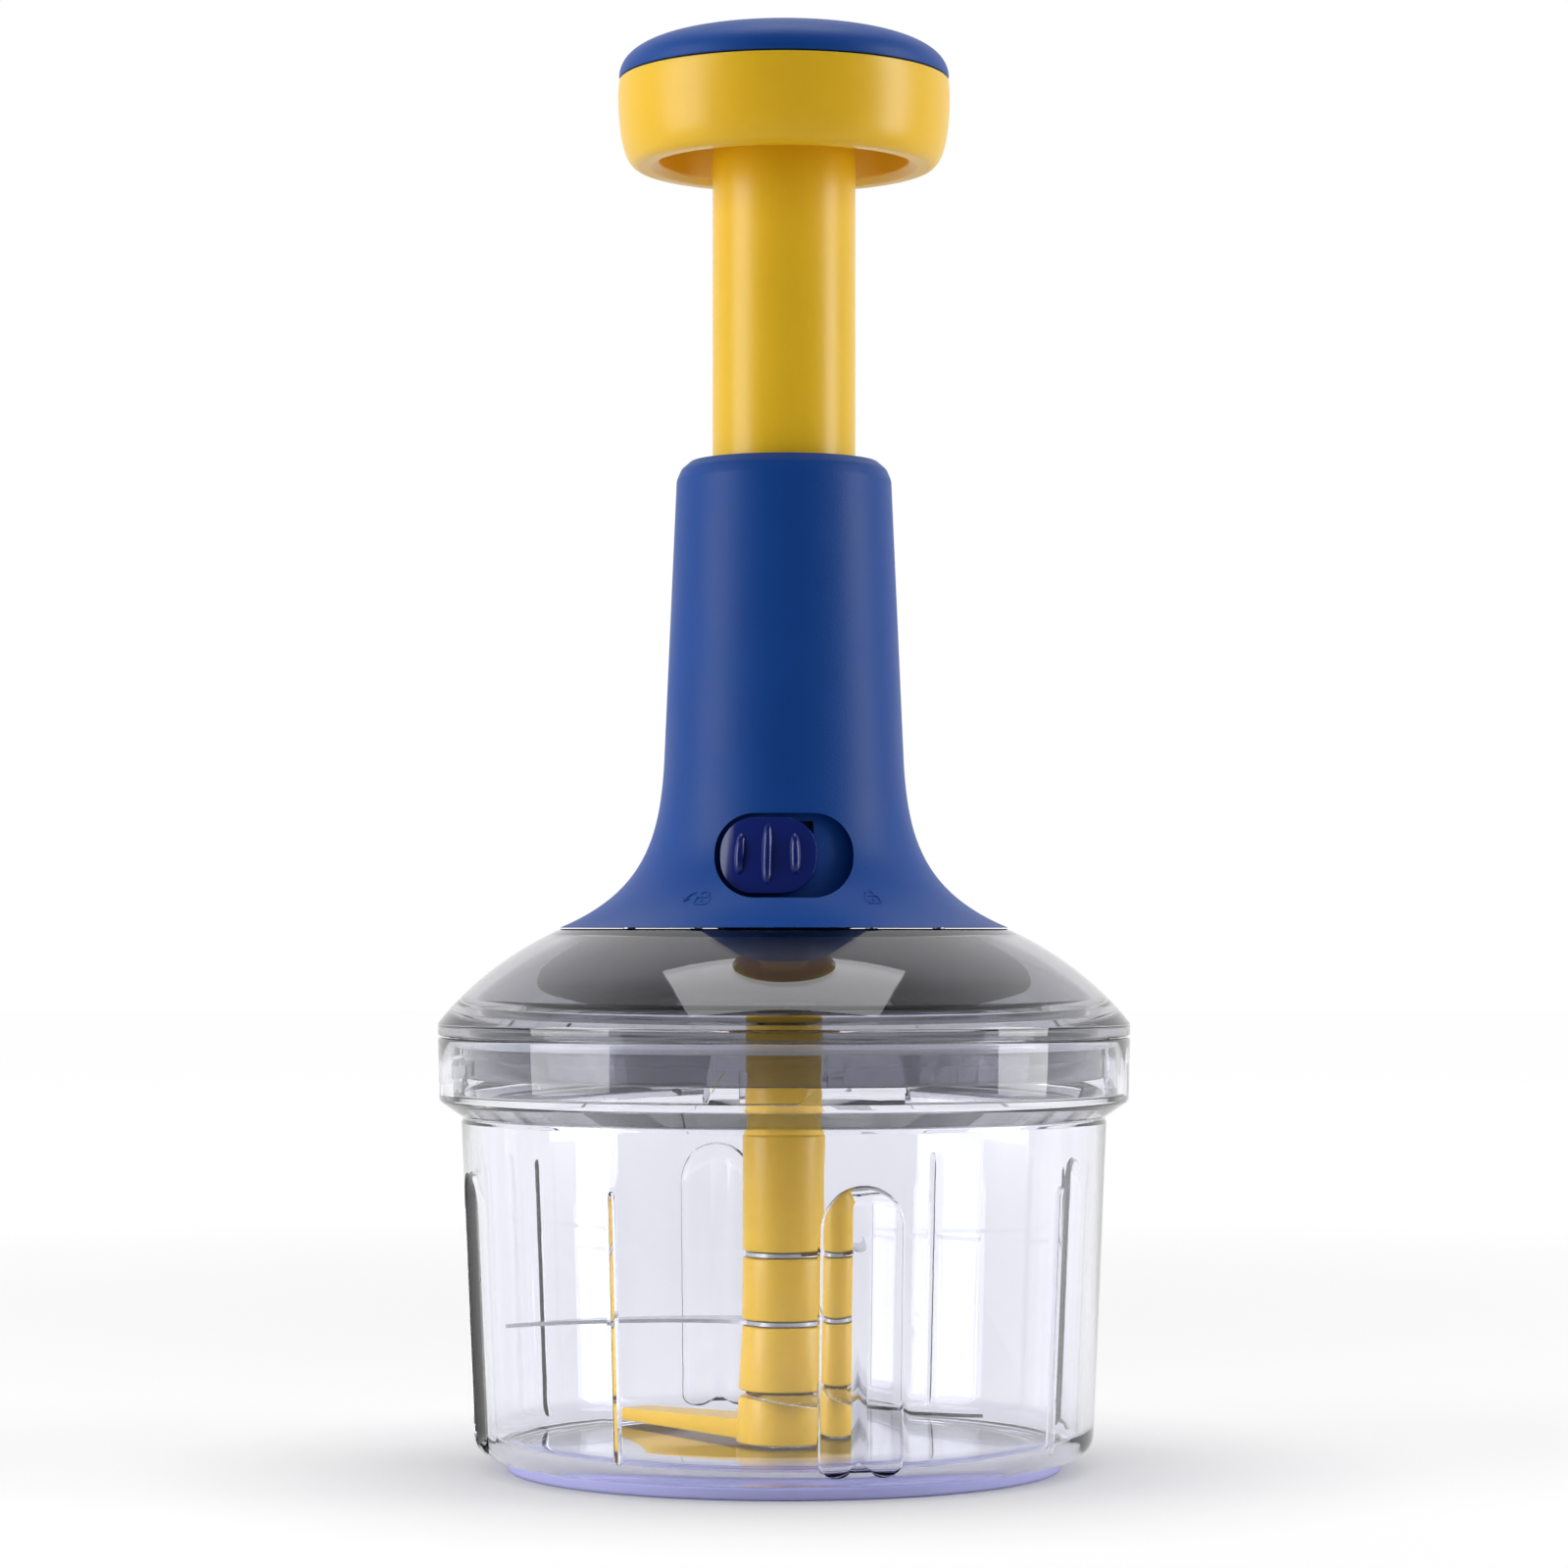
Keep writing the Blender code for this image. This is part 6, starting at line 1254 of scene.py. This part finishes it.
class CHOPPER_OT_stage(bpy.types.Operator):
    """White floor and surroundings, soft side lights and the level camera"""

    bl_idname = "chopper.stage"
    bl_label = "Studio"

    def execute(self, context):
        self.floor()
        self.world(context)
        self.lamps(context)
        self.camera(context)
        context.scene.view_settings.view_transform = "Standard"
        return {"FINISHED"}

    def calculate(self, nodes, links, operation, first, second):
        """A math node whose inputs are sockets or numbers."""
        node = nodes.new("ShaderNodeMath")
        node.operation = operation
        for slot, value in zip(node.inputs, (first, second)):
            if isinstance(value, (int, float)):
                slot.default_value = value
            else:
                links.new(value, slot)
        return node.outputs[0]

    def ramp(self, nodes, links, source, start, end, low, high):
        """A smooth step between two levels."""
        node = nodes.new("ShaderNodeMapRange")
        node.interpolation_type = "SMOOTHSTEP"
        for name, value in (("From Min", start), ("From Max", end), ("To Min", low), ("To Max", high)):
            node.inputs[name].default_value = value
        links.new(source, node.inputs["Value"])
        return node.outputs["Result"]

    def floor(self):
        """White paper with the lamps' real shadow and a painted shadow round the chopper's foot, where ambient
        occlusion darkens its glow. Its glow makes up for the lamps' falling off.
        """
        work = bmesh.new()
        bmesh.ops.create_grid(work, x_segments=1, y_segments=1, size=6)
        floor = finish_mesh("floor", work, recalculate=False)
        material = bpy.data.materials.new("floor_white")
        material.use_nodes = True
        nodes, links = material.node_tree.nodes, material.node_tree.links
        nodes.clear()
        paper = nodes.new("ShaderNodeBsdfDiffuse")
        paper.inputs["Color"].default_value = (0.62, 0.62, 0.62, 1)
        spot = nodes.new("ShaderNodeTexCoord").outputs["Object"]
        away = nodes.new("ShaderNodeVectorMath")
        away.operation = "LENGTH"
        links.new(spot, away.inputs[0])
        split = nodes.new("ShaderNodeSeparateXYZ")
        links.new(spot, split.inputs[0])
        level = self.ramp(nodes, links, away.outputs["Value"], 0.15, 1.3, 0.44, 0.84)
        near = nodes.new("ShaderNodeAmbientOcclusion")
        near.samples = 16
        near.inputs["Distance"].default_value = 0.08
        # Painted shade: the floor's glow is darkened by ambient occlusion close to the chopper.
        painted_contact_shade = self.calculate(nodes, links, "POWER", near.outputs["AO"], 1.5)
        level = self.calculate(nodes, links, "MULTIPLY", level, painted_contact_shade)
        path = nodes.new("ShaderNodeLightPath").outputs
        front = self.ramp(nodes, links, split.outputs["Y"], -0.30, -0.14, 0.0, 1.0)
        through = self.calculate(nodes, links, "MULTIPLY", path["Is Transmission Ray"], 0.75)
        mirrored = self.calculate(nodes, links, "MAXIMUM", path["Is Glossy Ray"], through)
        mirrored = self.calculate(nodes, links, "MULTIPLY", mirrored, front)
        seen = self.calculate(nodes, links, "MAXIMUM", path["Is Camera Ray"], mirrored)
        glow = nodes.new("ShaderNodeEmission")
        glow.inputs["Color"].default_value = (1, 1, 1, 1)
        links.new(self.calculate(nodes, links, "MULTIPLY", seen, level), glow.inputs["Strength"])
        both = nodes.new("ShaderNodeAddShader")
        links.new(paper.outputs[0], both.inputs[0])
        links.new(glow.outputs[0], both.inputs[1])
        out = nodes.new("ShaderNodeOutputMaterial")
        links.new(both.outputs[0], out.inputs["Surface"])
        floor.data.materials.append(material)

    def world(self, context):
        """White behind the chopper, and darker beside and before it, so that clear edges read as grey lines."""
        world = context.scene.world or bpy.data.worlds.new("studio")
        context.scene.world = world
        world.use_nodes = True
        nodes, links = world.node_tree.nodes, world.node_tree.links
        nodes.clear()
        split = nodes.new("ShaderNodeSeparateXYZ")
        links.new(nodes.new("ShaderNodeTexCoord").outputs["Generated"], split.inputs[0])
        fade = self.ramp(nodes, links, split.outputs["Y"], -0.15, 0.6, 0.12, 1.0)
        path = nodes.new("ShaderNodeLightPath").outputs
        bright = self.calculate(nodes, links, "MAXIMUM", path["Is Camera Ray"], fade)
        seen = self.calculate(nodes, links, "MAXIMUM", path["Is Camera Ray"], path["Is Glossy Ray"])
        seen = self.calculate(nodes, links, "MAXIMUM", seen, path["Is Transmission Ray"])
        room, shown = nodes.new("ShaderNodeBackground"), nodes.new("ShaderNodeBackground")
        for background in (room, shown):
            background.inputs["Color"].default_value = (1, 1, 1, 1)
        room.inputs["Strength"].default_value = sizes(context).studio.ambient
        links.new(bright, shown.inputs["Strength"])
        choose = nodes.new("ShaderNodeMixShader")
        links.new(seen, choose.inputs[0])
        links.new(room.outputs[0], choose.inputs[1])
        links.new(shown.outputs[0], choose.inputs[2])
        out = nodes.new("ShaderNodeOutputWorld")
        links.new(choose.outputs[0], out.inputs["Surface"])

    def lamps(self, context):
        power = sizes(context).studio.key
        places = (
            ("left", (-0.80, -0.26, 0.32), (0.50, 0.95), power),
            ("right", (0.84, -0.12, 0.32), (0.34, 0.95), power * 0.85),
            ("above", (0.0, 0.10, 1.1), (0.7, 0.5), power * 0.5),
        )
        for name, place, (wide, tall), watts in places:
            lamp = bpy.data.lights.new(name, "AREA")
            lamp.shape = "RECTANGLE"
            lamp.size, lamp.size_y = wide, tall
            lamp.energy = watts
            holder = bpy.data.objects.new(f"light_{name}", lamp)
            context.scene.collection.objects.link(holder)
            holder.location = place
            aim = Vector((0, 0, 0.15)) - Vector(place)
            holder.rotation_euler = aim.to_track_quat("-Z", "Y").to_euler()

    def camera(self, context):
        studio = sizes(context).studio
        camera = bpy.data.cameras.new("camera")
        camera.sensor_width = 36
        camera.lens = camera.sensor_width * studio.distance / studio.view_width
        camera.shift_y = (studio.centre_height - studio.height) / studio.view_width
        camera.clip_start = 0.05
        holder = bpy.data.objects.new("camera", camera)
        context.scene.collection.objects.link(holder)
        holder.location = (0, -studio.distance, studio.height)
        holder.rotation_euler = (pi / 2, 0, 0)
        context.scene.camera = holder


class CHOPPER_PT_panel(bpy.types.Panel):
    """Every step of the chopper, in order"""

    bl_label = "Food Chopper"
    bl_idname = "CHOPPER_PT_panel"
    bl_space_type = "VIEW_3D"
    bl_region_type = "UI"
    bl_category = "Chopper"

    def draw(self, context):
        for step in STEPS:
            self.layout.operator(step.bl_idname)
        for group in ("bowl", "lid", "handle", "blades", "studio"):
            values = getattr(sizes(context), group)
            box = self.layout.box()
            for name in values.bl_rna.properties.keys():
                if name not in {"rna_type", "name"}:
                    box.prop(values, name)


class ChopperSettings(bpy.types.PropertyGroup):
    """All the chopper's sizes and colours."""

    bowl: PointerProperty(name="Bowl", description="Sizes of the bowl", type=ChopperBowlSizes)
    lid: PointerProperty(name="Lid", description="Sizes of the lid", type=ChopperLidSizes)
    handle: PointerProperty(name="Handle", description="Sizes of the handle", type=ChopperHandleSizes)
    blades: PointerProperty(name="Blades", description="Sizes of the blades", type=ChopperBladeSizes)
    studio: PointerProperty(name="Studio", description="The studio's values", type=ChopperStudio)


GROUPS = (
    ChopperBowlSizes,
    ChopperLidSizes,
    ChopperHandleSizes,
    ChopperBladeSizes,
    ChopperStudio,
    ChopperSettings,
)
STEPS = (
    CHOPPER_OT_bowl,
    CHOPPER_OT_foot,
    CHOPPER_OT_lid,
    CHOPPER_OT_lid_inside,
    CHOPPER_OT_housing,
    CHOPPER_OT_lock,
    CHOPPER_OT_signs,
    CHOPPER_OT_plunger,
    CHOPPER_OT_knob,
    CHOPPER_OT_column,
    CHOPPER_OT_blades,
    CHOPPER_OT_drive,
    CHOPPER_OT_stage,
)


def register():
    for item in (*GROUPS, *STEPS, CHOPPER_PT_panel):
        bpy.utils.register_class(item)
    bpy.types.Scene.chopper = PointerProperty(type=ChopperSettings)


def unregister():
    del bpy.types.Scene.chopper
    for item in reversed((*GROUPS, *STEPS, CHOPPER_PT_panel)):
        bpy.utils.unregister_class(item)


def main():
    register()
    for step in STEPS:
        getattr(bpy.ops.chopper, step.bl_idname.split(".")[1])()


if __name__ == "__main__":
    main()
